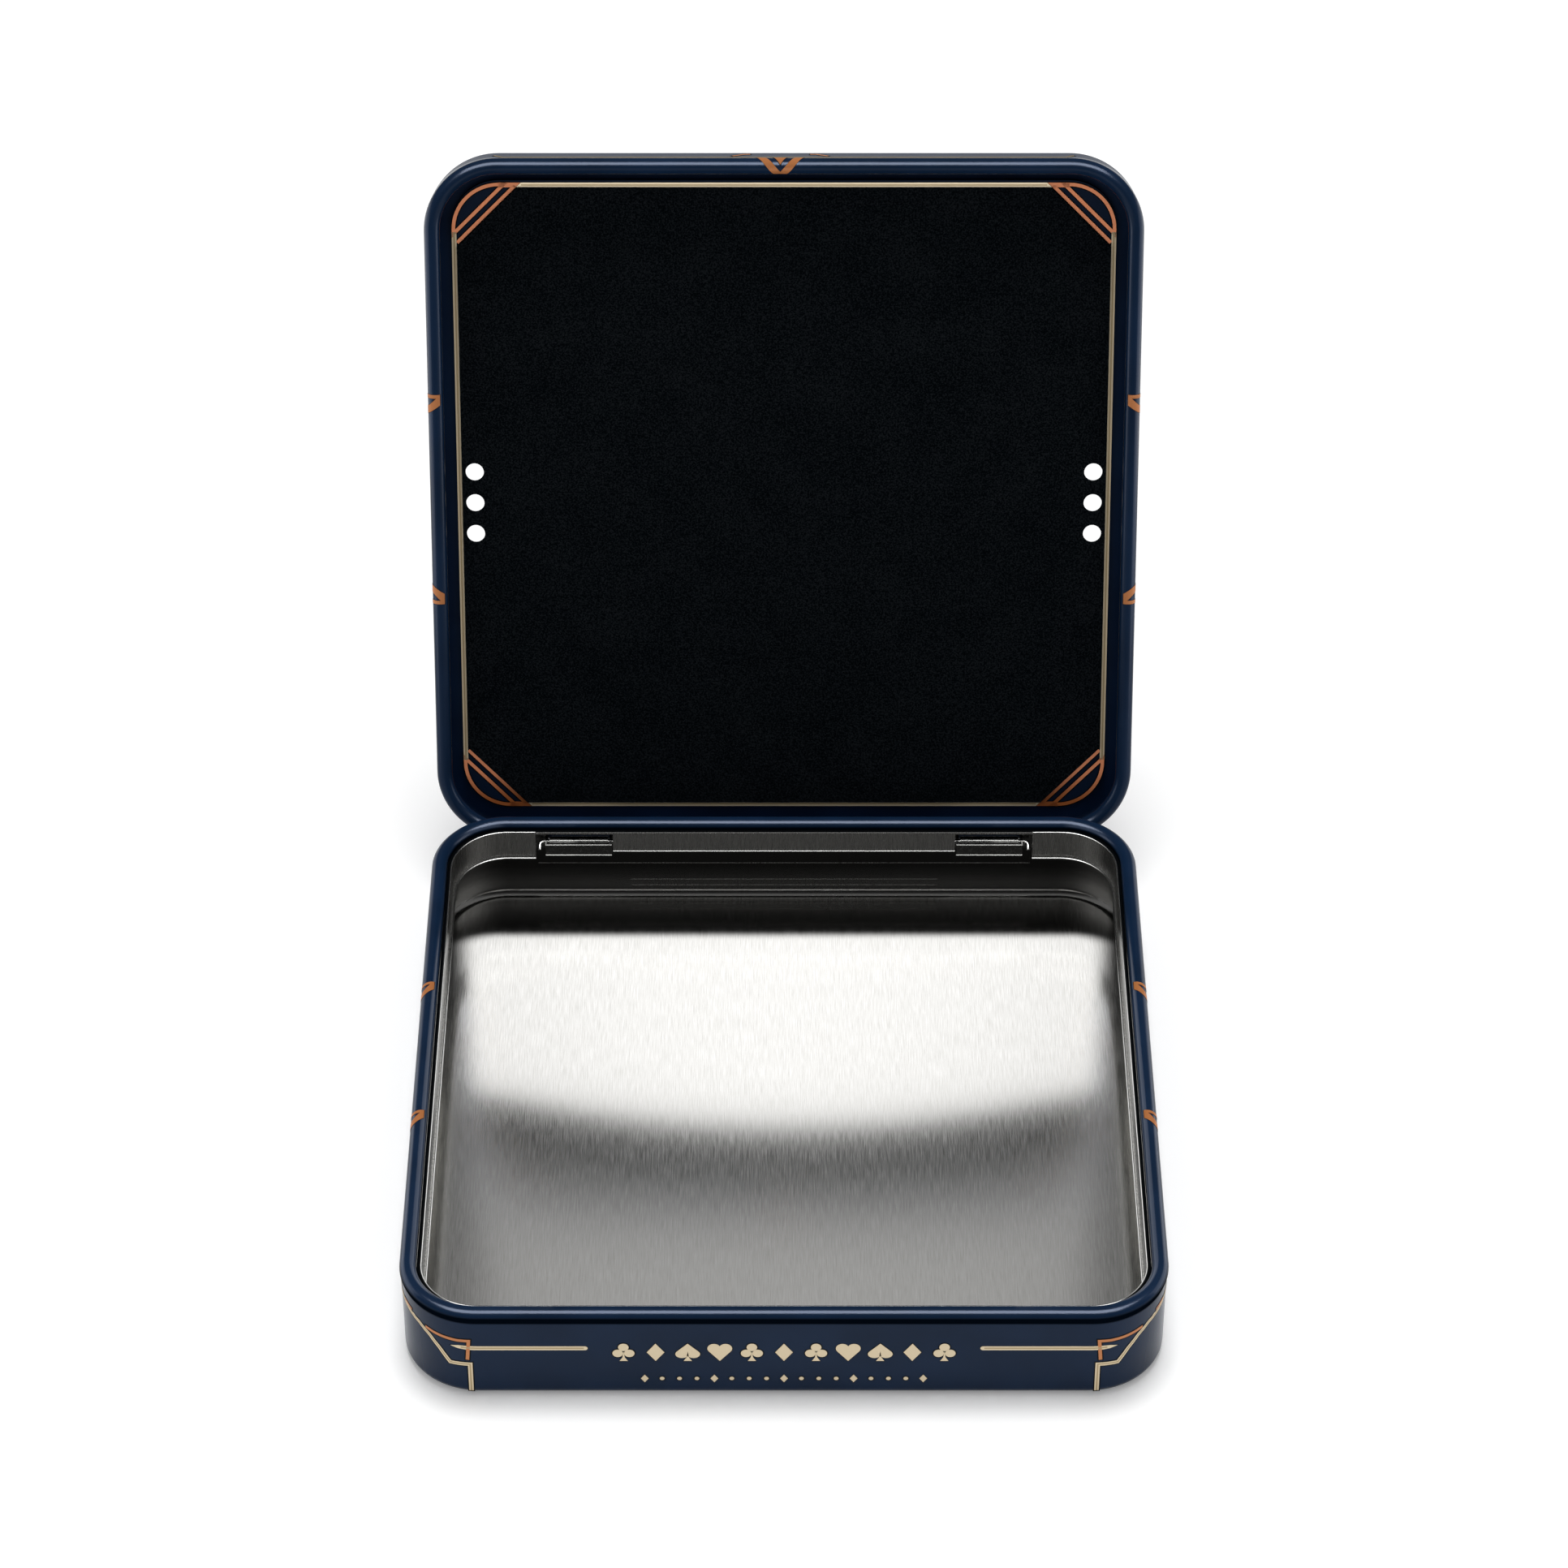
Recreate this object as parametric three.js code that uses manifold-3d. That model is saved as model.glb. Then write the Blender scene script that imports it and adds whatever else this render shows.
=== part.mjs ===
// A square card tin with a hinged lid, standing open with its lid back on the stop.
// Millimetres and degrees, Z up. The origin is the centre of the tray's underside. The hinge
// runs along X at the rear, +Y. Lid pieces are drawn as they lie when the tin is shut, and the
// lid's group then turns them about the hinge pins.

import * as THREE from 'three';
import { mergeVertices } from 'three/addons/utils/BufferGeometryUtils.js';
import Module from 'manifold-3d';

const wasm = await Module();
wasm.setup();

// The tin's outer sizes
const tinWidth = 135;
const tinDepth = 135;
const cornerRadius = 14;
const trayHeight = 20.4;
const lidHeight = 8;
const openAngle = 109.6;

// Tinplate, its rolled rim and its drawn edges
const sheet = 0.3;
const curlRadius = 1.5;
const curlStandOut = 0.25;
const curlEndAngle = -60;
const trayEdgeRadius = 2;
const lidEdgeRadius = 1.4;
const rimGap = 0.3;

// The hinge line, from the rear of the tin and from the tray's rim
const hingeInset = 2;
const hingeDrop = 5.4;
const hingeShare = 0.295;
const pinRadius = 0.45;
const pinPlay = 0.12;
const pieceGap = 0.3;

// The bracket inside the tray that holds a pin
const bracketWidth = 12.8;
const bracketSheet = 0.4;
const bracketPlateTop = 0.45;
const bracketPlateDrop = 2.3;
const bracketEarRise = 1.15;
const bracketFlange = 2.4;

// The strap on the lid, rolled round the pin
const strapSheet = 0.4;
const strapBendRadius = 0.7;
const strapRollEnd = 375;
const strapJoggleRise = 0.8;
const strapJoggleStep = 0.25;
const strapTab = 2.4;
const stopGap = 0.15;

// The pin's bent tail
const pinOverhang = 0.4;
const pinBend = 0.75;
const pinTail = 1;
const pinTailAngle = 35;

// The collar pressed into the tray's mouth
const collarGap = 0.2;
const collarTopDrop = 1.7;
const collarDepth = 5.2;
const collarFlareRadius = 1.2;
const collarFlareAngle = 50;
const collarMiddleDrop = 6.4;
const collarBridgeDrop = 2.15;

// The printed board inside the lid, and the felt on it
const boardInset = 4.9;
const boardThickness = 1.2;
const feltInset = 5.85;
const feltChamfer = 11.4;
const feltThickness = 0.5;
const gluedGap = 0.2;

// The six round vents through the lid, its board and the felt
const ventRadius = 1.7;
const ventInset = 8.3;
const ventPitch = 6.15;
const ventsPerSide = 3;

// How finely round forms are divided, and how far cuts run past what they cut
const cornerDivisions = 4;
const curlSteps = 16;
const innerCurlSteps = 8;
const curlFootSteps = 2;
const edgeSteps = 4;
const flareSteps = 3;
const rollSteps = 14;
const bendSteps = 3;
const roundSides = 16;
const pinSides = 10;
const pinSteps = 26;
const overrun = 1;

// Places worked out from the sizes above
const hingeY = tinDepth / 2 - hingeInset;
const hingeZ = trayHeight - hingeDrop;
const hingeOffset = tinWidth * hingeShare;
const wallInset = curlStandOut + sheet;
const wallOuterY = hingeInset - curlStandOut;
const wallInnerY = hingeInset - wallInset;
const rollInner = pinRadius + pinPlay;
const rollOuter = rollInner + strapSheet;
const strapWidth = bracketWidth - 2 * bracketSheet - 2 * pieceGap;
const strapOutY = hingeInset + pieceGap + strapSheet / 2;
const lidRimZ = trayHeight + rimGap;
const lidTopZ = lidRimZ + lidHeight;
const boardTopZ = lidTopZ - sheet - gluedGap;

const radians = THREE.MathUtils.degToRad;

// Finishes, each with the colour of the real surface
function finish(color, roughness, metalness) {
  return new THREE.MeshStandardMaterial({ color, roughness, metalness });
}
const navyLacquer = finish('#1c2a40', 0.35, 0.2);
const brightTinplate = finish('#9b9b97', 0.35, 0.95);
const hingeSteel = finish('#8a8a88', 0.3, 0.95);
const pinSteel = finish('#b4b4b2', 0.25, 1);
const printedBoard = finish('#0d1a2b', 0.5, 0);
const blackFelt = finish('#0c0f12', 0.95, 0);

// Points of an arc, with its angles in degrees
function arc(x, y, radius, from, to, steps) {
  const curve = new THREE.EllipseCurve(x, y, radius, radius, radians(from), radians(to), to < from, 0);
  return curve.getPoints(steps);
}

// The tin's plan outline, drawn in from its outermost edge, anticlockwise
function outline(inset) {
  const radius = cornerRadius - inset;
  const x = tinWidth / 2 - cornerRadius;
  const y = tinDepth / 2 - cornerRadius;
  const path = new THREE.Path();
  path.absarc(x, y, radius, 0, Math.PI / 2, false);
  path.absarc(-x, y, radius, Math.PI / 2, Math.PI, false);
  path.absarc(-x, -y, radius, Math.PI, 3 * Math.PI / 2, false);
  path.absarc(x, -y, radius, 3 * Math.PI / 2, 2 * Math.PI, false);
  return path.getPoints(cornerDivisions);
}

// A solid swept round the plan outline. Each profile point is an inset and a height. An open
// profile is closed by a flat face at each end, and a closed one joins its last point to its first.
function sweptRound(profile, isRing) {
  const positions = [];
  const triangles = [];
  for (const point of profile) {
    for (const corner of outline(point.x)) positions.push(corner.x, corner.y, point.y);
  }
  const count = positions.length / 3 / profile.length;
  const bands = isRing ? profile.length : profile.length - 1;
  for (let band = 0; band < bands; band++) {
    const lower = band * count;
    const upper = ((band + 1) % profile.length) * count;
    for (let i = 0; i < count; i++) {
      const next = (i + 1) % count;
      triangles.push(lower + i, upper + i, upper + next, lower + i, upper + next, lower + next);
    }
  }
  if (!isRing) {
    const last = (profile.length - 1) * count;
    for (let i = 1; i < count - 1; i++) {
      triangles.push(0, i, i + 1, last, last + i + 1, last + i);
    }
  }
  const geometry = new THREE.BufferGeometry();
  geometry.setAttribute('position', new THREE.Float32BufferAttribute(positions, 3));
  geometry.setIndex(triangles);
  return geometry;
}

// A strip of sheet that follows a line of points, with mitred corners, as a closed shape
function strip(line, thickness) {
  const left = [];
  const right = [];
  line.forEach((point, i) => {
    const before = line[Math.max(i - 1, 0)];
    const after = line[Math.min(i + 1, line.length - 1)];
    const into = point.clone().sub(before).normalize();
    const out = after.clone().sub(point).normalize();
    const start = into.lengthSq() > 0 ? into : out;
    const end = out.lengthSq() > 0 ? out : into;
    const along = start.clone().add(end).normalize();
    const side = new THREE.Vector2(-along.y, along.x);
    const reach = thickness / 2 / side.dot(new THREE.Vector2(-start.y, start.x));
    left.push(point.clone().addScaledVector(side, reach));
    right.push(point.clone().addScaledVector(side, -reach));
  });
  return new THREE.Shape([...left, ...right.reverse()]);
}

// A shape drawn in Y and Z, extruded along X and centred there
function alongX(shape, width, x) {
  const geometry = new THREE.ExtrudeGeometry(shape, { depth: width, bevelEnabled: false });
  const turn = new THREE.Matrix4().makeBasis(
    new THREE.Vector3(0, 1, 0),
    new THREE.Vector3(0, 0, 1),
    new THREE.Vector3(1, 0, 0),
  );
  return geometry.applyMatrix4(turn).translate(x - width / 2, 0, 0);
}

function box(low, high) {
  const size = high.clone().sub(low);
  const centre = low.clone().add(high).divideScalar(2);
  return new THREE.BoxGeometry(size.x, size.y, size.z).translate(centre.x, centre.y, centre.z);
}

// A geometry with only its positions, and each vertex once
function welded(geometry) {
  const bare = geometry.clone();
  bare.deleteAttribute('normal');
  bare.deleteAttribute('uv');
  return mergeVertices(bare);
}

function toSolid(geometry) {
  const bare = welded(geometry);
  return new wasm.Manifold(new wasm.Mesh({
    numProp: 3,
    vertProperties: new Float32Array(bare.getAttribute('position').array),
    triVerts: new Uint32Array(bare.getIndex().array),
  }));
}

// A body with each of the tools cut out of it
function cut(body, tools) {
  let solid = toSolid(body);
  for (const tool of tools) solid = solid.subtract(toSolid(tool));
  const mesh = solid.getMesh();
  const geometry = new THREE.BufferGeometry();
  geometry.setAttribute('position', new THREE.Float32BufferAttribute(mesh.vertProperties, 3));
  geometry.setIndex(new THREE.Uint32BufferAttribute(mesh.triVerts, 1));
  return geometry;
}

// One face of the rolled rim, from its raw edge over the top to where it meets the wall
function curlArc(height, radius, wallX, steps) {
  const z = height - curlRadius;
  const foot = 360 - THREE.MathUtils.radToDeg(Math.acos((wallX - curlRadius) / radius));
  return [
    ...arc(curlRadius, z, radius, curlEndAngle, 180, steps),
    ...arc(curlRadius, z, radius, 180, foot, curlFootSteps).slice(1),
  ];
}

// The profile of a drawn tray: floor, edge, wall and a rim rolled inwards, inside then outside
function trayProfile(height, edgeRadius) {
  const edgeX = curlStandOut + edgeRadius;
  return [
    ...arc(edgeX, edgeRadius, edgeRadius - sheet, 270, 180, edgeSteps),
    ...curlArc(height, curlRadius - sheet, wallInset, innerCurlSteps).reverse(),
    ...curlArc(height, curlRadius, curlStandOut, curlSteps),
    ...arc(edgeX, edgeRadius, edgeRadius, 180, 270, edgeSteps),
  ];
}

// How far below the hinge line the open strap's lower face leaves the tray's rear wall
function strapStopDrop() {
  const face = strapOutY + strapSheet / 2;
  const turn = radians(openAngle);
  return (face - wallOuterY * Math.cos(turn)) / Math.sin(turn);
}

// The opening in the tray's rear wall that a strap swings through. Its lower edge is the stop.
function hingeSlot(side) {
  const half = strapWidth / 2 + pieceGap;
  const centre = side * hingeOffset;
  const bottom = hingeZ - strapStopDrop() - stopGap;
  return box(
    new THREE.Vector3(centre - half, tinDepth / 2 - wallInset - overrun, bottom),
    new THREE.Vector3(centre + half, tinDepth / 2 + overrun, hingeZ + rollOuter + pieceGap),
  );
}

function makeTrayShell() {
  const shell = sweptRound(trayProfile(trayHeight, trayEdgeRadius), false);
  return cut(shell, [hingeSlot(-1), hingeSlot(1)]);
}

// The collar's profile: a band that hangs inside the rolled rim, flared inwards at its foot
function collarProfile() {
  const outer = 2 * curlRadius + collarGap;
  const inner = outer + sheet;
  const top = trayHeight - collarTopDrop;
  const foot = top - collarDepth;
  const flareX = inner + collarFlareRadius;
  const lip = 180 + collarFlareAngle;
  return [
    ...arc(flareX, foot, collarFlareRadius, lip, 180, flareSteps),
    new THREE.Vector2(inner, top),
    new THREE.Vector2(outer, top),
    ...arc(flareX, foot, collarFlareRadius + sheet, 180, lip, flareSteps),
  ];
}

// The collar is cut away at each bracket, and is shorter between them
function makeCollar() {
  const front = tinDepth / 2 - cornerRadius;
  const back = tinDepth / 2 + overrun;
  const below = trayHeight - collarTopDrop - collarDepth - collarFlareRadius - overrun;
  const near = hingeOffset - bracketWidth / 2 - pieceGap;
  const far = hingeOffset + bracketWidth / 2 + pinOverhang + pinBend + pinRadius + pieceGap;
  const windows = [[near, far], [-far, -near]].map(([from, to]) => box(
    new THREE.Vector3(from, front, below),
    new THREE.Vector3(to, back, trayHeight - collarBridgeDrop),
  ));
  const middle = box(
    new THREE.Vector3(-hingeOffset, front, below),
    new THREE.Vector3(hingeOffset, back, trayHeight - collarMiddleDrop),
  );
  return cut(sweptRound(collarProfile(), true), [...windows, middle]);
}

function pinBore(radius, x, width) {
  const bore = new THREE.CylinderGeometry(radius, radius, width, roundSides);
  return bore.rotateZ(Math.PI / 2).translate(x, hingeY, hingeZ);
}

// A hat-section bracket: two flanges on the wall, two ears that hold the pin and a front plate
function makeBracket(side) {
  const centre = side * hingeOffset;
  const earX = bracketWidth / 2 - bracketSheet / 2;
  const flangeX = bracketWidth / 2 + bracketFlange;
  const flangeY = hingeY + wallInnerY - pieceGap - bracketSheet / 2;
  const plateY = hingeY - rollOuter - pieceGap - bracketSheet / 2;
  const line = [
    [-flangeX, flangeY], [-earX, flangeY], [-earX, plateY],
    [earX, plateY], [earX, flangeY], [flangeX, flangeY],
  ].map(([x, y]) => new THREE.Vector2(centre + x, y));
  const bottom = hingeZ - bracketPlateDrop;
  const body = new THREE.ExtrudeGeometry(strip(line, bracketSheet), {
    depth: bracketPlateDrop + bracketEarRise,
    bevelEnabled: false,
  }).translate(0, 0, bottom);
  const abovePlate = box(
    new THREE.Vector3(centre - flangeX, plateY - overrun, hingeZ + bracketPlateTop),
    new THREE.Vector3(centre + flangeX, plateY + bracketSheet, hingeZ + bracketEarRise + overrun),
  );
  return cut(body, [abovePlate, pinBore(pinRadius + pinPlay, centre, bracketWidth + overrun)]);
}

// A wire pin, straight through both ears, with a tail bent forwards and down at its outer end
function makePin(side) {
  const start = hingeOffset - bracketWidth / 2 - pinOverhang;
  const end = hingeOffset + bracketWidth / 2 + pinOverhang;
  const forward = -Math.cos(radians(pinTailAngle));
  const down = -Math.sin(radians(pinTailAngle));
  const at = (x, reach) => new THREE.Vector3(side * x, hingeY + reach * forward, hingeZ + reach * down);
  const path = new THREE.CurvePath();
  path.add(new THREE.LineCurve3(at(start, 0), at(end, 0)));
  path.add(new THREE.QuadraticBezierCurve3(at(end, 0), at(end + pinBend, 0), at(end + pinBend, pinBend)));
  path.add(new THREE.LineCurve3(at(end + pinBend, pinBend), at(end + pinBend, pinBend + pinTail)));
  const section = new THREE.Shape().absarc(0, 0, pinRadius, 0, 2 * Math.PI, false);
  return new THREE.ExtrudeGeometry(section, {
    steps: pinSteps,
    curveSegments: pinSides / 2,
    extrudePath: path,
  });
}

// The strap, from the tab on the lid's rear wall, down past both rims, in through the slot and
// round the pin
function makeStrap(side) {
  const rollMiddle = (rollInner + rollOuter) / 2;
  const tabY = strapOutY - strapJoggleStep;
  const joggleZ = lidRimZ - hingeZ + 2 * curlRadius + pieceGap;
  const tabZ = joggleZ + strapJoggleRise;
  const bendY = strapOutY - strapBendRadius;
  const bendZ = rollMiddle + strapBendRadius;
  const line = [
    new THREE.Vector2(tabY, tabZ + strapTab),
    new THREE.Vector2(tabY, tabZ),
    new THREE.Vector2(strapOutY, joggleZ),
    ...arc(bendY, bendZ, strapBendRadius, 0, -90, bendSteps),
    ...arc(0, 0, rollMiddle, 90, strapRollEnd, rollSteps),
  ];
  const shape = strip(line, strapSheet);
  return alongX(shape, strapWidth, side * hingeOffset).translate(0, hingeY, hingeZ);
}

// The centres of the vents, in two rows beside the lid's sides
function ventCentres() {
  const centres = [];
  for (const side of [-1, 1]) {
    for (let i = 0; i < ventsPerSide; i++) {
      const y = (i - (ventsPerSide - 1) / 2) * ventPitch;
      centres.push(new THREE.Vector2(side * (tinWidth / 2 - ventInset), y));
    }
  }
  return centres;
}

function makeLidShell() {
  const shell = sweptRound(trayProfile(lidHeight, lidEdgeRadius), false);
  shell.rotateX(Math.PI).translate(0, 0, lidTopZ);
  const vents = ventCentres().map((centre) => {
    const drill = new THREE.CylinderGeometry(ventRadius, ventRadius, lidHeight, roundSides);
    return drill.rotateX(Math.PI / 2).translate(centre.x, centre.y, lidTopZ);
  });
  return cut(shell, vents);
}

// A flat sheet inside the lid, with the vents through it and its upper face at a given height
function ventedSheet(corners, thickness, top) {
  const shape = new THREE.Shape(corners);
  shape.holes = ventCentres().map((centre) => (
    new THREE.Path().absarc(centre.x, centre.y, ventRadius, 0, 2 * Math.PI, true)
  ));
  return new THREE.ExtrudeGeometry(shape, {
    depth: thickness,
    curveSegments: roundSides / 2,
    bevelEnabled: false,
  }).translate(0, 0, top - thickness);
}

function makeLidBoard() {
  return ventedSheet(outline(boardInset), boardThickness, boardTopZ);
}

// The felt is a square with its four corners cut off
function makeLidFelt() {
  const x = tinWidth / 2 - feltInset;
  const y = tinDepth / 2 - feltInset;
  const corners = [
    [x, -y + feltChamfer], [x, y - feltChamfer], [x - feltChamfer, y], [-x + feltChamfer, y],
    [-x, y - feltChamfer], [-x, -y + feltChamfer], [-x + feltChamfer, -y], [x - feltChamfer, -y],
  ].map(([across, along]) => new THREE.Vector2(across, along));
  return ventedSheet(corners, feltThickness, boardTopZ - boardThickness - gluedGap);
}

function addPiece(group, name, geometry, material) {
  const piece = new THREE.Mesh(geometry, material);
  piece.name = name;
  group.add(piece);
}

const tin = new THREE.Group();
addPiece(tin, 'tray_shell', makeTrayShell(), navyLacquer);
addPiece(tin, 'inner_collar', makeCollar(), brightTinplate);

// The lid's pieces, turned back about the hinge line
const lid = new THREE.Group();
lid.position.set(0, hingeY, hingeZ);
lid.rotation.x = -radians(openAngle);
tin.add(lid);

function addToLid(name, geometry, material) {
  addPiece(lid, name, geometry.translate(0, -hingeY, -hingeZ), material);
}
addToLid('lid_shell', makeLidShell(), navyLacquer);
addToLid('lid_board', makeLidBoard(), printedBoard);
addToLid('lid_felt', makeLidFelt(), blackFelt);

for (const [name, side] of [['left', -1], ['right', 1]]) {
  addPiece(tin, `${name}_hinge_bracket`, makeBracket(side), hingeSteel);
  addPiece(tin, `${name}_hinge_pin`, makePin(side), pinSteel);
  addToLid(`${name}_hinge_strap`, makeStrap(side), hingeSteel);
}

export default tin;
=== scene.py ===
"""A square card tin with a hinged lid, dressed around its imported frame.

The tin stands open on a pale studio floor. Every piece is drawn in millimetres, where the frame
has it, and turned to metres as it is made. Lid pieces are drawn on a lid that lies on its back,
rim up, then seated on the tray and turned back about the hinge.
"""

import logging
import math
from dataclasses import dataclass, field
from enum import Enum
from functools import partial
from typing import Callable, Iterable, Mapping, Sequence

import bmesh
import bpy
from mathutils import Matrix, Vector


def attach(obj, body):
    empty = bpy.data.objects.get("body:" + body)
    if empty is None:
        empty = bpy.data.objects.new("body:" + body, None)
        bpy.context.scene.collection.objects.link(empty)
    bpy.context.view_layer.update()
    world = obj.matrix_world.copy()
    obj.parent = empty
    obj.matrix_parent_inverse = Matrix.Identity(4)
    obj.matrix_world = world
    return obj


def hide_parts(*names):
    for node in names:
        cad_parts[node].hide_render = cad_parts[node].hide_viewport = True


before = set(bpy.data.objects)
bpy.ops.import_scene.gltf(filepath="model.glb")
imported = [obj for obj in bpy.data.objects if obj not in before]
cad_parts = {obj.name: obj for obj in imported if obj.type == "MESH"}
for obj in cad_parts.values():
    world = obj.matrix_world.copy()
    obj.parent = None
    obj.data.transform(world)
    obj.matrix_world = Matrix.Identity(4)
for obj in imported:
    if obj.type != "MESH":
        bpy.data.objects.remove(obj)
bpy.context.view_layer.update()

LOG = logging.getLogger("card_tin")
METRES = 0.001
WELD = 0.001
ON_WALL = 0.01
SHADED_SHARP = math.radians(40)
ROUNDED_SHARP = math.radians(50)
BEAD_SIDES = 12
HOLE_SIDES = 40
# The watts per square metre that make a panel show as bright as white.
WHITE_POWER = 4.0
QUARTER = math.pi / 2
RIGHT, BACK, UP = (Vector(axis) for axis in ((1, 0, 0), (0, 1, 0), (0, 0, 1)))

Point = tuple[float, float]
Shape = tuple[Point, ...]
Stroke = tuple[Shape, float, bool]
Triple = Sequence[float]
Colour = tuple[float, float, float, float]
Place = Callable[[float, float, float], Vector]
Tree, Socket = bpy.types.NodeTree, bpy.types.NodeSocket
Material, Object = bpy.types.Material, bpy.types.Object
Mesh = bmesh.types.BMesh
Vert, Edge, Face = bmesh.types.BMVert, bmesh.types.BMEdge, bmesh.types.BMFace


class Body(Enum):
    """The frame's bodies, which the pieces ride on."""

    TRAY = "tray"
    LID = "lid"


class Slot(Enum):
    """The record's material slots, one of which each piece is labelled with."""

    TRAY_LACQUER = "tray_lacquer"
    LID_LACQUER = "lid_lacquer"
    COLLAR = "collar_tinplate"
    HINGE = "hinge_steel"
    PIN = "pin_wire"
    BOARD = "printed_board"
    FELT = "black_felt"


class Gleam(Enum):
    """The groups of pieces that mirror a light panel of their own."""

    LACQUER = "lacquered_pieces"
    STEEL = "steel_pieces"
    INSIDE = "tray_inside"
    RIM = "tray_rim"
    PRINT = "printed_board_foil"


class FoilTone(Enum):
    """The colours that the foil is stamped in."""

    GILT = "#e6d4b2"
    # Gilt in painted shade: the middle line that rounds gilt strokes, and the dim line on the lid's
    # far wall.
    SHADE = "#b9a27a"
    COPPER = "#c47c48"
    # A deeper copper for the fans in the lid, darker partly as painted shade.
    DEEP_COPPER = "#b4642f"
    # The keyline's ink, which also paints the shadow round the raised foil.
    KEYLINE = "#05080c"


def linear(code: str) -> Colour:
    """Turns an sRGB colour into the linear one that a shader takes.

    Args:
        code: The colour as a hex code, such as "#1b2c48".

    Returns:
        Linear red, green, blue and an alpha of 1.
    """
    channels = [int(code[i : i + 2], 16) / 255 for i in (1, 3, 5)]
    red, green, blue = (
        c / 12.92 if c <= 0.04045 else ((c + 0.055) / 1.055) ** 2.4 for c in channels
    )
    return red, green, blue, 1.0


def grey(level: float) -> Colour:
    """Returns a level of brightness as a linear colour."""
    return level, level, level, 1.0


def per_metre(size_mm: float) -> float:
    """Returns the scale that gives a pattern a cell of size_mm on Object coordinates."""
    return 1 / (size_mm * METRES)


def add_node(
    tree: Tree,
    kind: str,
    output: str | int,
    inputs: Mapping[str | int, object],
    stops: Sequence[tuple[float, Colour]] = (),
    **settings: object,
) -> Socket:
    """Adds a node with its settings, values and links.

    Args:
        tree: The node tree it joins.
        kind: The node's type, without the ShaderNode that all types start with.
        output: Which of its outputs is wanted.
        inputs: Each input's value, or the output socket that feeds it.
        stops: The positions and colours of its ramp, if it has one.
        **settings: The node's own properties.

    Returns:
        The wanted output.
    """
    node = tree.nodes.new(f"ShaderNode{kind}")
    for name, value in settings.items():
        setattr(node, name, value)
    for name, value in inputs.items():
        if isinstance(value, Socket):
            tree.links.new(value, node.inputs[name])
        else:
            node.inputs[name].default_value = value
    if stops:
        elements = node.color_ramp.elements
        while len(elements) < len(stops):
            elements.new(0.5)
        for element, (position, colour) in zip(elements, stops):
            element.position = position
            element.color = colour
    return node.outputs[output]


@dataclass(frozen=True)
class Finish:
    """A surface finish, with a fine grain that can colour it, vary its gloss and raise its face.

    Without a grain size it is plain. Shades are stops over the grain. Gloss is the least and the
    most share of the roughness, over the span of the grain that is given. Relief is a strength and
    a depth in mm.
    """

    name: str
    colour: str
    roughness: float
    metallic: float = 0.0
    specular: float = 0.5
    tint: str = "#ffffff"
    grain_mm: float = 1.0
    detail: float = 2.0
    shades: tuple[tuple[float, str], ...] = ()
    gloss: Point | None = None
    gloss_span: Point = (0.0, 1.0)
    relief: Point | None = None

    def make(self) -> Material:
        """Makes the finish's material.

        Returns:
            The material, with its constants on the shader's own sockets.
        """
        material = bpy.data.materials.new(self.name)
        material.use_nodes = True
        tree = material.node_tree
        sockets = tree.nodes["Principled BSDF"].inputs
        sockets["Base Color"].default_value = linear(self.colour)
        sockets["Roughness"].default_value = self.roughness
        sockets["Metallic"].default_value = self.metallic
        sockets["Specular IOR Level"].default_value = self.specular
        sockets["Specular Tint"].default_value = linear(self.tint)
        if self.grain_mm:
            place = add_node(tree, "TexCoord", "Object", {})
            for name, source in self.weave(tree, place, self.grain(tree, place)).items():
                tree.links.new(source, sockets[name])
        return material

    def grain(self, tree: Tree, place: Socket) -> Socket:
        """Draws the grain.

        Args:
            tree: The material's node tree.
            place: The Object coordinates.

        Returns:
            The grain, about from 0 to 1.
        """
        noise = {"Vector": place, "Scale": per_metre(self.grain_mm), "Detail": self.detail}
        return add_node(tree, "TexNoise", "Fac", noise)

    def weave(self, tree: Tree, place: Socket, grain: Socket) -> dict[str, Socket]:
        """Turns the grain into colour, gloss and relief.

        Args:
            tree: The material's node tree.
            place: The Object coordinates, which this method doesn't use.
            grain: The grain.

        Returns:
            The sockets that feed the shader, by the names of its inputs.
        """
        woven = {}
        if self.shades:
            stops = [(position, linear(code)) for position, code in self.shades]
            woven["Base Color"] = add_node(tree, "ValToRGB", "Color", {"Fac": grain}, stops)
        if self.gloss:
            span = {"From Min": self.gloss_span[0], "From Max": self.gloss_span[1]}
            low, high = (self.roughness * share for share in self.gloss)
            values = {"Value": grain, **span, "To Min": low, "To Max": high}
            woven["Roughness"] = add_node(tree, "MapRange", "Result", values)
        if self.relief:
            strength, depth = self.relief
            values = {"Height": grain, "Strength": strength, "Distance": depth * METRES}
            woven["Normal"] = add_node(tree, "Bump", "Normal", values)
        return woven


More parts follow.
